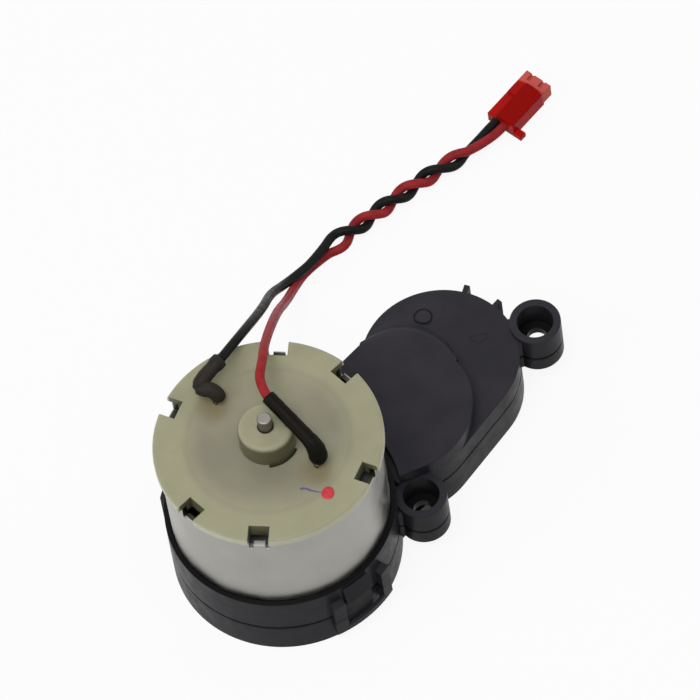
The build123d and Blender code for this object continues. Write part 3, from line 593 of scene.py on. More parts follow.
@dataclass(frozen=True)
class CanSteel(DrawnSteel):
    """Drawn can whose cut upper edge has painted shade in the notches of the cap, but for one
    bright tab.
    """

    # Painted shade for the cut edge where it shows in the cap's notches.
    notch_shade: Colour = (0.05, 0.047, 0.032)
    notch_shade_heights: tuple[float, float] = (0.0262, 0.0265)
    bright_tab: Point = (-11.8, -9.2, 27.2)
    bright_reach: tuple[float, float] = (0.0016, 0.0022)
    outside: tuple[float, float] = (0.01515, 0.0153)

    def clouded(self, shading: Shading, cloud: bpy.types.NodeSocket) -> bpy.types.NodeSocket:
        """Make the steel's colour, with painted shade on the upper edge.

        Args:
            shading: Builder of the material's nodes.
            cloud: Pattern of the clouding.

        Returns:
            The colour.
        """
        # Painted shade above this height, inside the outer face and away from the tab.
        high = shading.levels(shading.height(), *self.notch_shade_heights, (0.0, 1.0))
        from_tab = shading.distance(from_motor(self.bright_tab))
        away = shading.levels(from_tab, *self.bright_reach, (0.0, 1.0))
        inside = shading.levels(shading.distance(MOTOR_FOOT), *self.outside, (1.0, 0.0))
        notch_shaded = shading.product(shading.product(high, away), inside)
        return shading.blend(notch_shaded, super().clouded(shading, cloud), self.notch_shade)


@dataclass(frozen=True)
class StackedSteel(Finish):
    """Punched core sheets, seen as a stack of thin layers."""

    sheet: float = 0.0005

    def paint(self, shading: Shading) -> None:
        """Fill in the nodes of the finish.

        Args:
            shading: Builder of the material's nodes.
        """
        layers = shading.node("ShaderNodeTexWave", bands_direction="Z")
        layers.inputs["Scale"].default_value = 1.0 / (self.sheet * 2 * math.pi)
        layers.inputs["Distortion"].default_value = 0.4
        shading.join(shading.place, layers.inputs["Vector"])
        value = layers.outputs["Fac"]
        shading.colour(self.mottled(shading, value, (0.1, 0.5), (0.5, 1.0)))
        shading.roughness(shading.levels(shading.noise(0.0012), 0.3, 0.7, (0.4, 0.6)))
        shading.relief(value, 0.00004, 0.0001)
        shading.fixed(Metallic=0.9)


@dataclass(frozen=True)
class WoundCopper(Finish):
    """Enamelled copper wire, wound in layers."""

    wire: float = 0.00022

    def paint(self, shading: Shading) -> None:
        """Fill in the nodes of the finish.

        Args:
            shading: Builder of the material's nodes.
        """
        turns = shading.node("ShaderNodeTexWave", bands_direction="Z")
        turns.inputs["Scale"].default_value = 1.0 / (self.wire * 2 * math.pi)
        turns.inputs["Distortion"].default_value = 1.2
        turns.inputs["Detail"].default_value = 2.0
        shading.join(shading.place, turns.inputs["Vector"])
        value = turns.outputs["Fac"]
        shading.colour(self.mottled(shading, value, (0.05, 0.35), (0.6, 1.0)))
        shading.relief(value, 0.00006)
        shading.fixed(Metallic=1.0, Roughness=0.28, Coat_Weight=0.4, Coat_Roughness=0.15)


@dataclass(frozen=True)
class PressedGrain(Finish):
    """Pressed and sintered stock: magnets and oil-soaked bushes."""

    grain: float = 0.00015
    metal: float = 0.0
    pores: float = 0.00004

    def paint(self, shading: Shading) -> None:
        """Fill in the nodes of the finish.

        Args:
            shading: Builder of the material's nodes.
        """
        speck = shading.node("ShaderNodeTexVoronoi")
        speck.inputs["Scale"].default_value = 1.0 / self.grain
        shading.join(shading.place, speck.inputs["Vector"])
        value = speck.outputs["Distance"]
        shading.colour(self.mottled(shading, value, (0.0, 0.6), (0.5, 1.0)))
        shading.roughness(shading.levels(shading.noise(0.001), 0.3, 0.7, (0.45, 0.65)))
        shading.relief(value, self.pores, 0.0001)
        shading.fixed(Metallic=self.metal)


@dataclass(frozen=True)
class Insulation(Finish):
    """Soft wire insulation or sleeving with drawn lines, handling marks and a waxy gloss."""

    rough: tuple[float, float] = (0.34, 0.5)
    gloss: float = 0.3
    ripple: float = 0.0007
    depth: float = 0.00003

    def paint(self, shading: Shading) -> None:
        """Fill in the nodes of the finish.

        Args:
            shading: Builder of the material's nodes.
        """
        marks = shading.noise(0.0016, 5.0)
        shading.colour(self.mottled(shading, marks, (0.3, 0.75), (0.72, 1.25)))
        shading.roughness(shading.levels(marks, 0.3, 0.7, self.rough))
        shading.relief(shading.noise(self.ripple, 4.0), self.depth)
        shading.fixed(Specular_IOR_Level=self.gloss)


@dataclass(frozen=True)
class PaintMark(Finish):
    """A dab of marking paint or a pen stroke."""

    def paint(self, shading: Shading) -> None:
        """Fill in the nodes of the finish.

        Args:
            shading: Builder of the material's nodes.
        """
        patch = shading.noise(0.0005, 4.0)
        shading.colour(self.mottled(shading, patch, (0.35, 0.7), (0.65, 1.2)))
        shading.relief(patch, 0.00004)
        shading.fixed(Roughness=0.45)


BEAD_BLACK = MouldedPlastic(
    "housing_black", "black_plastic", (0.0255, 0.0245, 0.029), gloss=0.05, rough=(0.3, 0.42)
)
SHELL_TOP: Colour = (0.0262, 0.0243, 0.0298)
UPPER_BLACK = ShellPlastic("upper_shell_black", "black_plastic", SHELL_TOP)
# The lower shell also gets the painted shadow behind its hooks.
LOWER_BLACK = ShellPlastic("lower_shell_black", "black_plastic", SHELL_TOP, hook_shadow=True)
# Near-black painted shade for the ejector ring, darker than the housing.
RING_SHADE_BLACK = MouldedPlastic("ring_shade_black", "black_plastic", (0.008, 0.008, 0.01), gloss=0.05)
CAP_CREAM = CapPlastic("cap_cream", "natural_plastic", (0.284, 0.274, 0.176))
CAN_STEEL = CanSteel("can_steel", "plated_steel", (0.335, 0.33, 0.303))
SHAFT_STEEL = DrawnSteel(
    "turned_steel", "shaft_steel", (0.2, 0.19, 0.17), rough=(0.34, 0.46), edge=0.0001
)
CORE_SHEETS = StackedSteel("core_sheets", "core_steel", (0.42, 0.41, 0.4))
COIL_COPPER = WoundCopper("coil_copper", "copper", (0.78, 0.34, 0.16))
CONTACT_COPPER = DrawnSteel("contact_copper", "copper", (0.8, 0.45, 0.25), rough=(0.2, 0.32))
MAGNET_FERRITE = PressedGrain("magnet_ferrite", "ferrite", (0.05, 0.05, 0.055))
BUSH_BRONZE = PressedGrain("bush_bronze", "bronze", (0.3, 0.19, 0.09), metal=0.9)
GEAR_WHITE = MouldedPlastic(
    "gear_white", "gear_plastic", (0.7, 0.69, 0.66), depth=0.000006, sheen_through=0.2
)
SLEEVE_BROWN = Insulation(
    "sleeve_brown", "sleeve", (0.024, 0.021, 0.017), rough=(0.4, 0.6), gloss=0.06
)
SLEEVE_BLACK = Insulation("sleeve_black_rubber", "sleeve", (0.006, 0.0057, 0.0036), gloss=0.04)
WIRE_RED = Insulation("wire_red_vinyl", "wire_red", (0.25, 0.019, 0.022), gloss=0.05)
WIRE_BLACK = Insulation("wire_black_vinyl", "wire_black", (0.0095, 0.009, 0.0085), gloss=0.05)
CONNECTOR_RED = ConnectorPlastic("connector_red", "red_plastic", (0.35, 0.006, 0.004))
CONTACT_TIN = DrawnSteel("contact_tin", "plated_steel", (0.6, 0.6, 0.57), edge=0.0001)
DOT_RED = PaintMark("dot_red", "wire_red", (0.44, 0.012, 0.014))
STROKE_VIOLET = PaintMark("stroke_violet", "natural_plastic", (0.07, 0.055, 0.17))

NODE_FINISHES: dict[str, Finish] = {
    "lower_housing": LOWER_BLACK,
    "upper_housing": UPPER_BLACK,
    "motor_can": CAN_STEEL,
    "end_cap": CAP_CREAM,
    "magnet_front": MAGNET_FERRITE,
    "magnet_back": MAGNET_FERRITE,
    "armature_core": CORE_SHEETS,
    "windings": COIL_COPPER,
    "motor_shaft": SHAFT_STEEL,
    "commutator": CONTACT_COPPER,
    "brush_arm_black": CONTACT_COPPER,
    "brush_arm_red": CONTACT_COPPER,
    "front_bearing": BUSH_BRONZE,
    "rear_bearing": BUSH_BRONZE,
    "thrust_washers": GEAR_WHITE,
    "motor_screws": CONTACT_TIN,
    "motor_pinion": SHAFT_STEEL,
    "first_gear": GEAR_WHITE,
    "second_gear": GEAR_WHITE,
    "output_gear": GEAR_WHITE,
    "first_axle": SHAFT_STEEL,
    "second_axle": SHAFT_STEEL,
    "output_pin": SHAFT_STEEL,
    "connector_housing": CONNECTOR_RED,
    "connector_contacts": CONTACT_TIN,
}


def add_piece(
    data: bpy.types.Mesh | bpy.types.Curve, name: str, body: Body, finish: Finish
) -> bpy.types.Object:
    """Put a new piece into the scene, dress it and let it ride.

    Args:
        data: Mesh or curve of the piece.
        name: Name of the piece.
        body: Body that carries it.
        finish: Finish that it gets.

    Returns:
        The piece.
    """
    piece = bpy.data.objects.new(name, data)
    bpy.context.scene.collection.objects.link(piece)
    data.materials.append(finish.material())
    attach(piece, body.value)
    log.info("piece %s on %s", name, body.value)
    return piece


def smooth_route(name: str, points: list[Vector]) -> bpy.types.Curve:
    """Make an open smooth curve whose control points are a route.

    Args:
        name: Name of the curve.
        points: Control points in metres.

    Returns:
        The curve.
    """
    curve = bpy.data.curves.new(name, "CURVE")
    curve.dimensions = "3D"
    curve.resolution_u = 12
    spline = curve.splines.new("NURBS")
    spline.points.add(len(points) - 1)
    for control, point in zip(spline.points, points):
        control.co = (*point, 1.0)
    spline.order_u = 3
    spline.use_endpoint_u = True
    return curve


def line_of(name: str, points: list[Vector]) -> list[Vector]:
    """Read the points of a route's smooth curve.

    Args:
        name: Name for the curve while it is read.
        points: Control points in metres.

    Returns:
        Points along the curve.
    """
    guide = bpy.data.objects.new(name, smooth_route(name, points))
    bpy.context.scene.collection.objects.link(guide)
    mesh = bpy.data.meshes.new_from_object(guide)
    line = [vertex.co.copy() for vertex in mesh.vertices]
    bpy.data.meshes.remove(mesh)
    bpy.data.objects.remove(guide)
    return line


def travelled(line: list[Vector]) -> list[float]:
    """Measure the distance travelled at each point of a line.

    Args:
        line: Points of the line.

    Returns:
        The distances.
    """
    total = [0.0]
    for before, after in zip(line, line[1:]):
        total.append(total[-1] + (after - before).length)
    return total


def point_at(
    line: list[Vector], reach: list[float], distance: float
) -> tuple[Vector, Vector]:
    """Find the place and heading at a distance along a line.

    Args:
        line: Points of the line.
        reach: Distance travelled at each of them.
        distance: Distance along the line.

    Returns:
        The place and the heading.
    """
    last = len(reach) - 1
    index = next((i for i in range(1, last) if distance <= reach[i]), last)
    start, end = line[index - 1], line[index]
    share = (distance - reach[index - 1]) / (reach[index] - reach[index - 1])
    return start.lerp(end, share), (end - start).normalized()


def keyed(keys: tuple[tuple[float, float], ...], at: float) -> float:
    """Read a value from straight stretches between keys.

    Args:
        keys: Places and values in rising order.
        at: Place to read.

    Returns:
        The value there.
    """
    if at <= keys[0][0]:
        return keys[0][1]
    for (low, first), (high, last) in zip(keys, keys[1:]):
        if at <= high:
            return first + (last - first) * (at - low) / (high - low)
    return keys[-1][1]


def mesh_from(build: bmesh.types.BMesh, name: str, smooth: bool = True) -> bpy.types.Mesh:
    """Turn the faces outwards and make the mesh.

    Args:
        build: Faces to use, set free afterwards.
        name: Name of the mesh.
        smooth: Whether the mesh is smooth shaded.

    Returns:
        The mesh.
    """
    bmesh.ops.recalc_face_normals(build, faces=build.faces)
    mesh = bpy.data.meshes.new(name)
    build.to_mesh(mesh)
    build.free()
    for polygon in mesh.polygons:
        polygon.use_smooth = smooth
    return mesh


def bridge(build: bmesh.types.BMesh, loops: list[list[bmesh.types.BMVert]]) -> None:
    """Join closed loops one after the other with faces.

    Args:
        build: Where the faces go.
        loops: Loops with the same number of corners.
    """
    for before, after in zip(loops, loops[1:]):
        for k, corner in enumerate(before):
            following = (k + 1) % len(before)
            build.faces.new((corner, before[following], after[following], after[k]))


def ring_mesh(
    name: str, line: list[Vector], rings: list[tuple[float, float]], sides: int
) -> bpy.types.Mesh:
    """Make a mesh from rings set along a line.

    Args:
        name: Name of the mesh.
        line: Middle line.
        rings: Distance along the line and radius of each ring.
        sides: Number of corners of a ring.

    Returns:
        The mesh, smooth shaded.
    """
    reach = travelled(line)
    turns = [2 * math.pi * k / sides for k in range(sides)]
    upright = (line[1] - line[0]).normalized().orthogonal().normalized()
    build = bmesh.new()
    loops = []
    for at, radius in rings:
        centre, ahead = point_at(line, reach, at)
        side = (upright - ahead * upright.dot(ahead)).normalized()
        other = ahead.cross(side)
        corners = [
            centre + side * radius * math.cos(turn) + other * radius * math.sin(turn)
            for turn in turns
        ]
        loops.append([build.verts.new(corner) for corner in corners])
    bridge(build, loops)
    return mesh_from(build, name)


def eased(value: float, power: float) -> float:
    """Push a sine or cosine outwards, so that a round section turns squarish."""
    return math.copysign(abs(value) ** power, value)


def round_points(
    centre: tuple[float, float], radius: float, turns: list[float]
) -> list[tuple[float, float]]:
    """Place points round a centre.

    Args:
        centre: The centre.
        radius: Distance from it.
        turns: Turn of each point in radians.

    Returns:
        The points.
    """
    return [
        (centre[0] + radius * math.cos(turn), centre[1] + radius * math.sin(turn))
        for turn in turns
    ]


@dataclass
class TwistedPair:
    """The stretch where the two leads wind round each other up to the connector.

    Lengths are in millimetres and the route is counted from the motor axis.
    """

    route: tuple[Point, ...] = (
        (38.4, 28.2, 1.46),
        (47.0, 27.1, 1.46),
        (57.2, 25.4, 1.46),
        (65.4, 23.24, 1.46),
        (70.3, 23.5, 1.36),
    )
    steps_per_turn: int = 8
    spacing: float = 1.0
    winding: tuple[float, float] = (4.0, 27.5)
    turn_keys: tuple[tuple[float, float], ...] = (
        (0.0, 66.0),
        (1.0, 38.0),
        (2.4, 24.0),
        (3.3, 36.0),
        (4.6, 117.0),
        (8.65, 300.0),
        (12.4, 474.0),
        (16.5, 652.0),
        (20.5, 832.0),
        (25.2, 1012.0),
        (30.4, 1074.0),
        (32.4, 1080.0),
    )
    gap_keys: tuple[tuple[float, float], ...] = (
        (0.0, 0.7),
        (1.0, 0.9),
        (2.3, 1.15),
        (3.3, 0.95),
        (4.4, 0.72),
        (40.0, 0.7),
    )
    line: list[Vector] = field(default_factory=list)

    def strand(self, side: int) -> list[Vector]:
        """Return the control points of one strand along the twisted stretch.

        Args:
            side: One for the black strand and minus one for the red.

        Returns:
            Control points in metres.
        """
        if not self.line:
            self.line = line_of("pair_route", [from_motor(point) for point in self.route])
        reach = travelled(self.line)
        # The smooth curve runs inside its control points, by this share of their distance.
        drawn_in = 0.75 + 0.25 * math.cos(2 * math.pi / self.steps_per_turn)
        first, last = self.winding
        count = round(reach[-1] / (self.spacing * MM))
        points = []
        for index in range(count + 1):
            distance = reach[-1] * index / count
            at = distance / MM
            place, ahead = point_at(self.line, reach, distance)
            across = Vector((-ahead.y, ahead.x, 0.0)).normalized()
            turn = math.radians(keyed(self.turn_keys, at))
            apart = keyed(self.gap_keys, at) * MM * side
            if first <= at <= last:
                apart /= drawn_in
            offset = across * math.cos(turn) + Vector((0.0, 0.0, math.sin(turn)))
            points.append(place + offset * apart)
        return points


@dataclass
class LeadSet:
    """Both leads, from their sleeves to the connector, in millimetres."""

    diameter: float = 1.35
    routes: dict[Lead, tuple[Point, ...]] = field(
        default_factory=lambda: {
            Lead.BLACK: (
                (4.07, 12.48, 32.5),
                (8.82, 13.39, 31.73),
                (17.94, 19.01, 21.24),
                (24.62, 25.24, 10.1),
                (29.06, 27.57, 4.2),
                (33.73, 27.87, 2.6),
                (35.6, 28.15, 2.1),
            ),
            Lead.RED: (
                (2.74, 1.87, 35.9),
                (3.27, 4.05, 36.74),
                (6.42, 6.28, 35.9),
                (10.14, 9.77, 32.48),
                (18.55, 16.72, 22.14),
                (25.3, 23.02, 9.13),
                (31.07, 27.25, 2.1),
                (34.07, 28.3, 0.82),
            ),
        }
    )
    finishes: dict[Lead, Finish] = field(
        default_factory=lambda: {Lead.BLACK: WIRE_BLACK, Lead.RED: WIRE_RED}
    )
    ends: dict[Lead, str] = field(
        default_factory=lambda: {
            Lead.BLACK: "connector_housing",
            Lead.RED: "connector_contacts",
        }
    )
    pair: TwistedPair = field(default_factory=TwistedPair)

    def build(self) -> None:
        """Build both leads and hide the frame's wires that they replace."""
        for lead in Lead:
            side = 1 if lead is Lead.BLACK else -1
            own = [from_motor(point) for point in self.routes[lead]]
            points = own + self.pair.strand(side)
            line = line_of(f"lead_{lead.value}_line", points)
            curve = smooth_route(f"lead_{lead.value}", points)
            curve.bevel_depth = self.diameter / 2 * MM
            curve.bevel_resolution = 6
            curve.use_fill_caps = True
            piece = add_piece(curve, f"lead_{lead.value}", Body.HOUSING, self.finishes[lead])
            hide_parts(f"wire_{lead.value}", "wire_pair")


@dataclass
class SleeveSet:
    """The insulating sleeves over the soldered ends, with open mouths, and their strips."""

    inner: float = 0.72
    depth: float = 1.0
    mouth: float = 0.35
    mouth_steps: int = 4
    rings: int = 28
    sides: int = 28
    ripples: tuple[tuple[float, float], ...] = ((0.015, 1.9), (0.012, 0.8))
    strip_width: float = 1.3
    strip_thick: float = 0.5
    strip_corners: int = 16
    strip_squareness: float = 0.35
    strip_levels: tuple[tuple[float, float], ...] = (
        (24.4, 0.8),
        (24.8, 1.0),
        (28.2, 1.0),
        (29.9, 1.0),
        (30.3, 0.8),
        (30.9, 0.62),
        (31.1, 0.4),
    )
    lines: dict[Lead, tuple[Point, ...]] = field(
        default_factory=lambda: {
            Lead.BLACK: (
                (0.3, 9.4, 30.45),
                (0.2, 9.9, 32.1),
                (-0.9, 12.2, 31.4),
                (0.5, 12.4, 32.4),
                (4.07, 12.48, 32.5),
            ),
            Lead.RED: (
                (1.9, -7.8, 30.7),
                (2.2, -7.9, 32.9),
                (2.5, -4.4, 33.9),
                (2.74, 1.87, 35.9),
            ),
        }
    )
    swells: dict[Lead, tuple[tuple[float, float], ...]] = field(
        default_factory=lambda: {
            Lead.BLACK: (
                (0.0, 1.04),
                (2.5, 1.12),
                (5.0, 1.06),
                (7.1, 1.02),
                (7.3, 1.14),
                (9.0, 1.14),
            ),
            Lead.RED: ((0.0, 1.2), (0.8, 1.34), (2.2, 1.28), (4.0, 1.05), (14.0, 1.0)),
        }
    )
    strips: dict[Lead, tuple[float, float]] = field(
        default_factory=lambda: {Lead.BLACK: (0.2, 9.6), Lead.RED: (1.85, -7.9)}
    )
    finishes: dict[Lead, Finish] = field(
        default_factory=lambda: {Lead.BLACK: SLEEVE_BROWN, Lead.RED: SLEEVE_BLACK}
    )

    def build(self) -> None:
        """Build both sleeves and the terminal strips under them."""
        for lead in Lead:
            points = [from_motor(point) for point in self.lines[lead]]
            line = line_of(f"sleeve_{lead.value}_line", points)
            mesh = self.tube(line, f"sleeve_{lead.value}_tube", self.swells[lead])
            piece = add_piece(
                mesh, f"sleeve_{lead.value}_tube", Body.HOUSING, self.finishes[lead]
            )
            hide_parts(f"sleeve_{lead.value}")
            strip = add_piece(
                self.strip(*self.strips[lead]),
                f"terminal_{lead.value}_strip",
                Body.HOUSING,
                CONTACT_TIN,
            )
            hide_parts(f"terminal_{lead.value}")

    def tube(
        self, line: list[Vector], name: str, swell: tuple[tuple[float, float], ...]
    ) -> bpy.types.Mesh:
        """Make a tube with a rounded mouth that turns back inside at both ends.

        Args:
            line: Middle line.
            name: Name of the mesh.
            swell: Distances from the foot and the outer radius there, in millimetres.

        Returns:
            The mesh.
        """
        end = travelled(line)[-1] / MM
        foot = self.lip(0.0, 1.0, keyed(swell, 0.0))
        head = self.lip(end, -1.0, keyed(swell, end))
        rings = [(self.depth, self.inner), *foot]
        for step in range(1, self.rings):
            along = self.mouth + (end - 2 * self.mouth) * step / self.rings
            ripple = sum(size * math.sin(step * pace) for size, pace in self.ripples)
            rings.append((along, keyed(swell, along) + ripple))
        rings.extend(reversed(head))
        rings.append((end - self.depth, self.inner))
        metres = [(at * MM, radius * MM) for at, radius in rings]
        return ring_mesh(name, line, metres, self.sides)

    def lip(self, at: float, sign: float, outer: float) -> list[tuple[float, float]]:
        """Round off one mouth of a sleeve, from the bore to the outside.

        Args:
            at: Where the mouth is along the sleeve.
            sign: One at the foot and minus one at the head.
            outer: Outer radius there.

        Returns:
            Distance along the sleeve and radius of each ring.
        """
        half = (outer - self.inner) / 2
        turns = [math.pi * step / self.mouth_steps for step in range(self.mouth_steps + 1)]
        return [
            (
                at + sign * half * (1 - math.sin(turn)),
                self.inner + half * (1 - math.cos(turn)),
            )
            for turn in turns
        ]

    def strip(self, x: float, y: float) -> bpy.types.Mesh:
        """Make one terminal strip, necked under its head, with eased corners.

        Args:
            x: Place along the row, counted from the motor axis.
            y: Place across the row.

        Returns:
            The mesh.
        """
        corners = self.strip_corners
        turns = [2 * math.pi * (step + 0.5) / corners for step in range(corners)]
        build = bmesh.new()
        loops = []
        for level, share in self.strip_levels:
            half_x = self.strip_width / 2 * share
            half_y = self.strip_thick / 2 * (0.6 + 0.4 * share)
            loop = []
            for turn in turns:
                side_x = x + half_x * eased(math.cos(turn), self.strip_squareness)
                side_y = y + half_y * eased(math.sin(turn), self.strip_squareness)
                loop.append(build.verts.new(from_motor((side_x, side_y, level))))
            loops.append(loop)
        bridge(build, loops)
        build.faces.new(loops[0])
        build.faces.new(loops[-1])
        return mesh_from(build, "terminal_strip", smooth=False)


@dataclass
class CapMarks:
    """The red paint dot and the violet pen stroke on the end cap, in millimetres."""

    top: float = 29.6
    dot: tuple[float, float] = (-0.77, -12.0)
    dot_radius: float = 0.95
    dot_flat: float = 0.07
    stroke_radius: float = 0.4
    stroke_taper: tuple[float, ...] = (1.0, 0.85, 0.6, 0.35)
    stroke_sink: float = 0.8
    stroke: tuple[tuple[float, float], ...] = (
        (-2.75, -8.7),
        (-2.2, -9.1),
        (-2.0, -10.2),
        (-1.2, -11.3),
    )

    def build(self) -> None:
        """Build both marks."""
        build = bmesh.new()
        bmesh.ops.create_uvsphere(build, u_segments=28, v_segments=12, radius=1.0)
        for vertex in build.verts:
            turn = math.atan2(vertex.co.y, vertex.co.x)
            uneven = 1.0 + 0.06 * math.sin(2 * turn + 0.5) + 0.04 * math.sin(3 * turn)
            x = self.dot[0] + vertex.co.x * self.dot_radius * uneven
            y = self.dot[1] + vertex.co.y * self.dot_radius * uneven
            vertex.co = from_motor((x, y, self.top + vertex.co.z * self.dot_flat))
        add_piece(mesh_from(build, "paint_dot"), "paint_dot", Body.HOUSING, DOT_RED)
        stroke = smooth_route(
            "pen_stroke", [from_motor((x, y, self.top)) for x, y in self.stroke]
        )
        stroke.bevel_depth = self.stroke_radius * MM
        stroke.bevel_resolution = 3
        for share, control in zip(self.stroke_taper, stroke.splines[0].points):
            control.radius = share
            control.co.z -= self.stroke_radius * MM * share * self.stroke_sink
        add_piece(stroke, "pen_stroke", Body.HOUSING, STROKE_VIOLET)


@dataclass
class EjectorMarks:
    """The low round and D-shaped beads that the mould left on the round end.

    Places are in millimetres from the output axis.
    """

    level: float = 9.2
    ring: tuple[float, float] = (3.39, 6.43)
    ring_radius: float = 1.25
    half_round: tuple[float, float] = (6.3, -1.5)
    half_radius: float = 1.2
    half_turn: float = -125.0
    width: float = 0.26
    rise: float = 0.1
    sink: float = 0.01
    ring_steps: int = 48
    arc_steps: int = 24
    flat_steps: int = 12
    bead_steps: int = 8
    slope_centre: tuple[float, float] = (-10.7, -1.47)
    slope_foot: float = 16.14
    slope_reach: float = 5.2
    slope_rise: float = 2.8

    def build(self) -> None:
        """Build both marks."""
        whole = [2 * math.pi * k / self.ring_steps for k in range(self.ring_steps)]
        circle = round_points(self.ring, self.ring_radius, whole)
        # The ring bead is near black: painted shade.
        add_piece(self.bead(circle), "ejector_ring", Body.HOUSING, RING_SHADE_BLACK)
        half = [
            math.radians(self.half_turn - 90 + 180 * k / self.arc_steps)
            for k in range(self.arc_steps + 1)
        ]
        outline = round_points(self.half_round, self.half_radius, half)
        start, end = Vector(outline[0]), Vector(outline[-1])
        for k in range(1, self.flat_steps):
            outline.append(tuple(end.lerp(start, k / self.flat_steps)))
        add_piece(self.bead(outline), "ejector_half_round", Body.HOUSING, BEAD_BLACK)

    def lift(self, x: float, y: float) -> float:
        """Measure the height of the round end under a mark, with the foot of the slope.

        Args:
            x: Place along the row, counted from the output axis.
            y: Place across the row.

        Returns:
            The height in millimetres.
        """
        away = math.hypot(x - self.slope_centre[0], y - self.slope_centre[1])
        share = min(1.0, max(0.0, (self.slope_foot - away) / self.slope_reach))
        return self.level + self.slope_rise * share * share * (3 - 2 * share)

    def bead(self, outline: list[tuple[float, float]]) -> bpy.types.Mesh:
        """Make a low half-round bead along a closed outline.

        Args:
            outline: Points of the outline.

        Returns:
            The mesh.
        """
        turns = [math.pi * step / self.bead_steps for step in range(self.bead_steps + 1)]
        build = bmesh.new()
        ribs = []
        for k, (x, y) in enumerate(outline):
            before, after = outline[k - 1], outline[(k + 1) % len(outline)]
            ahead = Vector((after[0] - before[0], after[1] - before[1])).normalized()
            foot = self.lift(x, y) - self.sink
            rib = []
            for turn in turns:
                aside = math.cos(turn) * self.width / 2
                level = foot + math.sin(turn) * self.rise
                place = Vector((x - ahead.y * aside, y + ahead.x * aside, level)) * MM
                rib.append(build.verts.new(place))
            ribs.append(rib)
        for first, second in zip(ribs, ribs[1:] + ribs[:1]):
            for step in range(self.bead_steps):
                build.faces.new((first[step], second[step], second[step + 1], first[step + 1]))
        return mesh_from(build, "ejector_bead")


@dataclass
class FrameNodes:
    """The solids of the shared frame that stay, dressed in their finishes."""

    finishes: dict[str, Finish] = field(default_factory=lambda: dict(NODE_FINISHES))

    def dress(self) -> None:
        """Give every solid that stays its finish."""
        for name, finish in self.finishes.items():
            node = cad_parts[name]
            material = finish.material()
            if node.material_slots:
                for place in node.material_slots:
                    place.material = material
            else:
                node.data.materials.append(material)
            log.info("solid %s in %s", name, finish.name)


@dataclass(frozen=True)
class Lamp:
    """One large soft lamp: its name, place and side in metres, and its power in watts."""

    name: str
    place: Point
    size: float
    power: float


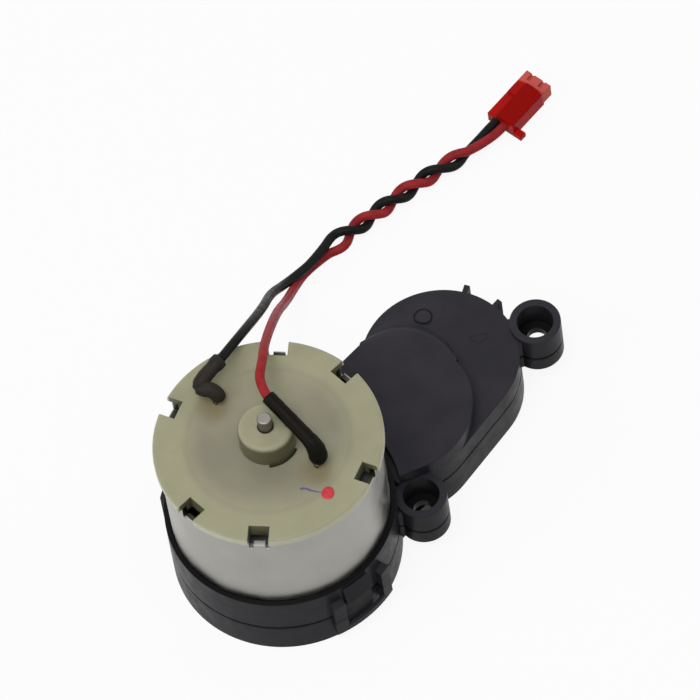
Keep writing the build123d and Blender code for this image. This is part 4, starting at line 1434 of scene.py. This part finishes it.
@dataclass
class Studio:
    """Camera, soft lights, white floor and surroundings."""

    look_at: Point = (-0.00752, 0.01030, 0.010)
    right: Point = (0.6781, -0.7299, -0.0855)
    up: Point = (0.6598, 0.5534, 0.5082)
    back: Point = (-0.3237, -0.4010, 0.8570)
    distance: float = 1.1252
    lens: float = 411.43
    sensor: float = 36.0
    floor_size: float = 1.6
    floor_paper: float = 0.7
    floor_glow: float = 0.9
    soft_colour: Colour = (0.97, 0.98, 1.0)
    soft_strength: float = 0.33
    lamps: tuple[Lamp, ...] = (
        Lamp("lamp_high", (-0.25, -0.1, 0.8), 0.5, 4.3),
        Lamp("lamp_right", (0.62, -0.3, 0.36), 0.4, 1.2),
        Lamp("lamp_back", (0.3, 0.5, 0.5), 0.4, 0.9),
        Lamp("lamp_left", (-0.6, 0.25, 0.35), 0.4, 1.4),
    )

    def build(self) -> None:
        """Set the whole studio up."""
        self.camera()
        self.surroundings()
        self.floor()
        for lamp in self.lamps:
            self.hang(lamp)
        bpy.context.scene.view_settings.view_transform = "Standard"

    def camera(self) -> None:
        """Put the camera where the photograph was taken from."""
        data = bpy.data.cameras.new("camera")
        data.sensor_width = self.sensor
        data.lens = self.lens
        data.clip_start = 0.05
        data.clip_end = 10.0
        camera = bpy.data.objects.new("camera", data)
        bpy.context.scene.collection.objects.link(camera)
        back = Vector(self.back).normalized()
        right = (Vector(self.right) - back * back.dot(Vector(self.right))).normalized()
        up = back.cross(right)
        place = Vector(self.look_at) + back * self.distance
        turn = Matrix((right, up, back)).transposed().to_4x4()
        camera.matrix_world = Matrix.Translation(place) @ turn
        bpy.context.scene.camera = camera

    def seen_directly(self, tree: bpy.types.NodeTree) -> bpy.types.NodeSocket:
        """Tell whether the eye, a gloss or a clear piece looks at the backdrop.

        Args:
            tree: Nodes of the backdrop.

        Returns:
            One where it does.
        """
        path = tree.nodes.new("ShaderNodeLightPath")
        value = path.outputs["Is Camera Ray"]
        for name in ("Is Glossy Ray", "Is Transmission Ray"):
            most = tree.nodes.new("ShaderNodeMath")
            most.operation = "MAXIMUM"
            tree.links.new(value, most.inputs[0])
            tree.links.new(path.outputs[name], most.inputs[1])
            value = most.outputs[0]
        return value

    def surroundings(self) -> None:
        """Make the surroundings plain and pale."""
        world = bpy.data.worlds.new("surroundings")
        bpy.context.scene.world = world
        world.use_nodes = True
        tree = world.node_tree
        soft = tree.nodes["Background"]
        soft.inputs["Color"].default_value = (*self.soft_colour, 1.0)
        soft.inputs["Strength"].default_value = self.soft_strength
        white = tree.nodes.new("ShaderNodeBackground")
        white.inputs["Color"].default_value = (1.0, 1.0, 1.0, 1.0)
        white.inputs["Strength"].default_value = 1.0
        choose = tree.nodes.new("ShaderNodeMixShader")
        tree.links.new(self.seen_directly(tree), choose.inputs[0])
        tree.links.new(soft.outputs[0], choose.inputs[1])
        tree.links.new(white.outputs[0], choose.inputs[2])
        tree.links.new(choose.outputs[0], tree.nodes["World Output"].inputs[0])

    def floor(self) -> None:
        """Lay a white floor that keeps a faint shadow."""
        half = self.floor_size / 2
        mesh = bpy.data.meshes.new("floor")
        corners = [(-half, -half), (half, -half), (half, half), (-half, half)]
        mesh.from_pydata([(x, y, 0.0) for x, y in corners], [], [(0, 1, 2, 3)])
        floor = bpy.data.objects.new("floor", mesh)
        bpy.context.scene.collection.objects.link(floor)
        material = bpy.data.materials.new("floor_white")
        material.use_nodes = True
        tree = material.node_tree
        paper = tree.nodes["Principled BSDF"]
        paper.inputs["Base Color"].default_value = (*[self.floor_paper] * 3, 1.0)
        paper.inputs["Roughness"].default_value = 0.9
        paper.inputs["Specular IOR Level"].default_value = 0.1
        glow = tree.nodes.new("ShaderNodeEmission")
        glow.inputs["Strength"].default_value = 1.0
        share = tree.nodes.new("ShaderNodeMath")
        share.operation = "MULTIPLY"
        share.inputs[1].default_value = self.floor_glow
        tree.links.new(self.seen_directly(tree), share.inputs[0])
        choose = tree.nodes.new("ShaderNodeMixShader")
        tree.links.new(share.outputs[0], choose.inputs[0])
        tree.links.new(paper.outputs[0], choose.inputs[1])
        tree.links.new(glow.outputs[0], choose.inputs[2])
        tree.links.new(choose.outputs[0], tree.nodes["Material Output"].inputs[0])
        mesh.materials.append(material)

    def hang(self, lamp: Lamp) -> None:
        """Hang a lamp and turn it to the object.

        Args:
            lamp: The lamp.
        """
        data = bpy.data.lights.new(lamp.name, "AREA")
        data.shape = "SQUARE"
        data.size = lamp.size
        data.energy = lamp.power
        hung = bpy.data.objects.new(lamp.name, data)
        bpy.context.scene.collection.objects.link(hung)
        place = Vector(lamp.place)
        turn = (place - Vector(self.look_at)).to_track_quat("Z", "Y").to_matrix().to_4x4()
        hung.matrix_world = Matrix.Translation(place) @ turn


def main() -> None:
    """Build everything in order."""
    logging.basicConfig(level=logging.INFO, format="%(message)s")
    Studio().build()
    LeadSet().build()
    SleeveSet().build()
    FrameNodes().dress()
    CapMarks().build()
    EjectorMarks().build()


if __name__ == "__main__":
    main()
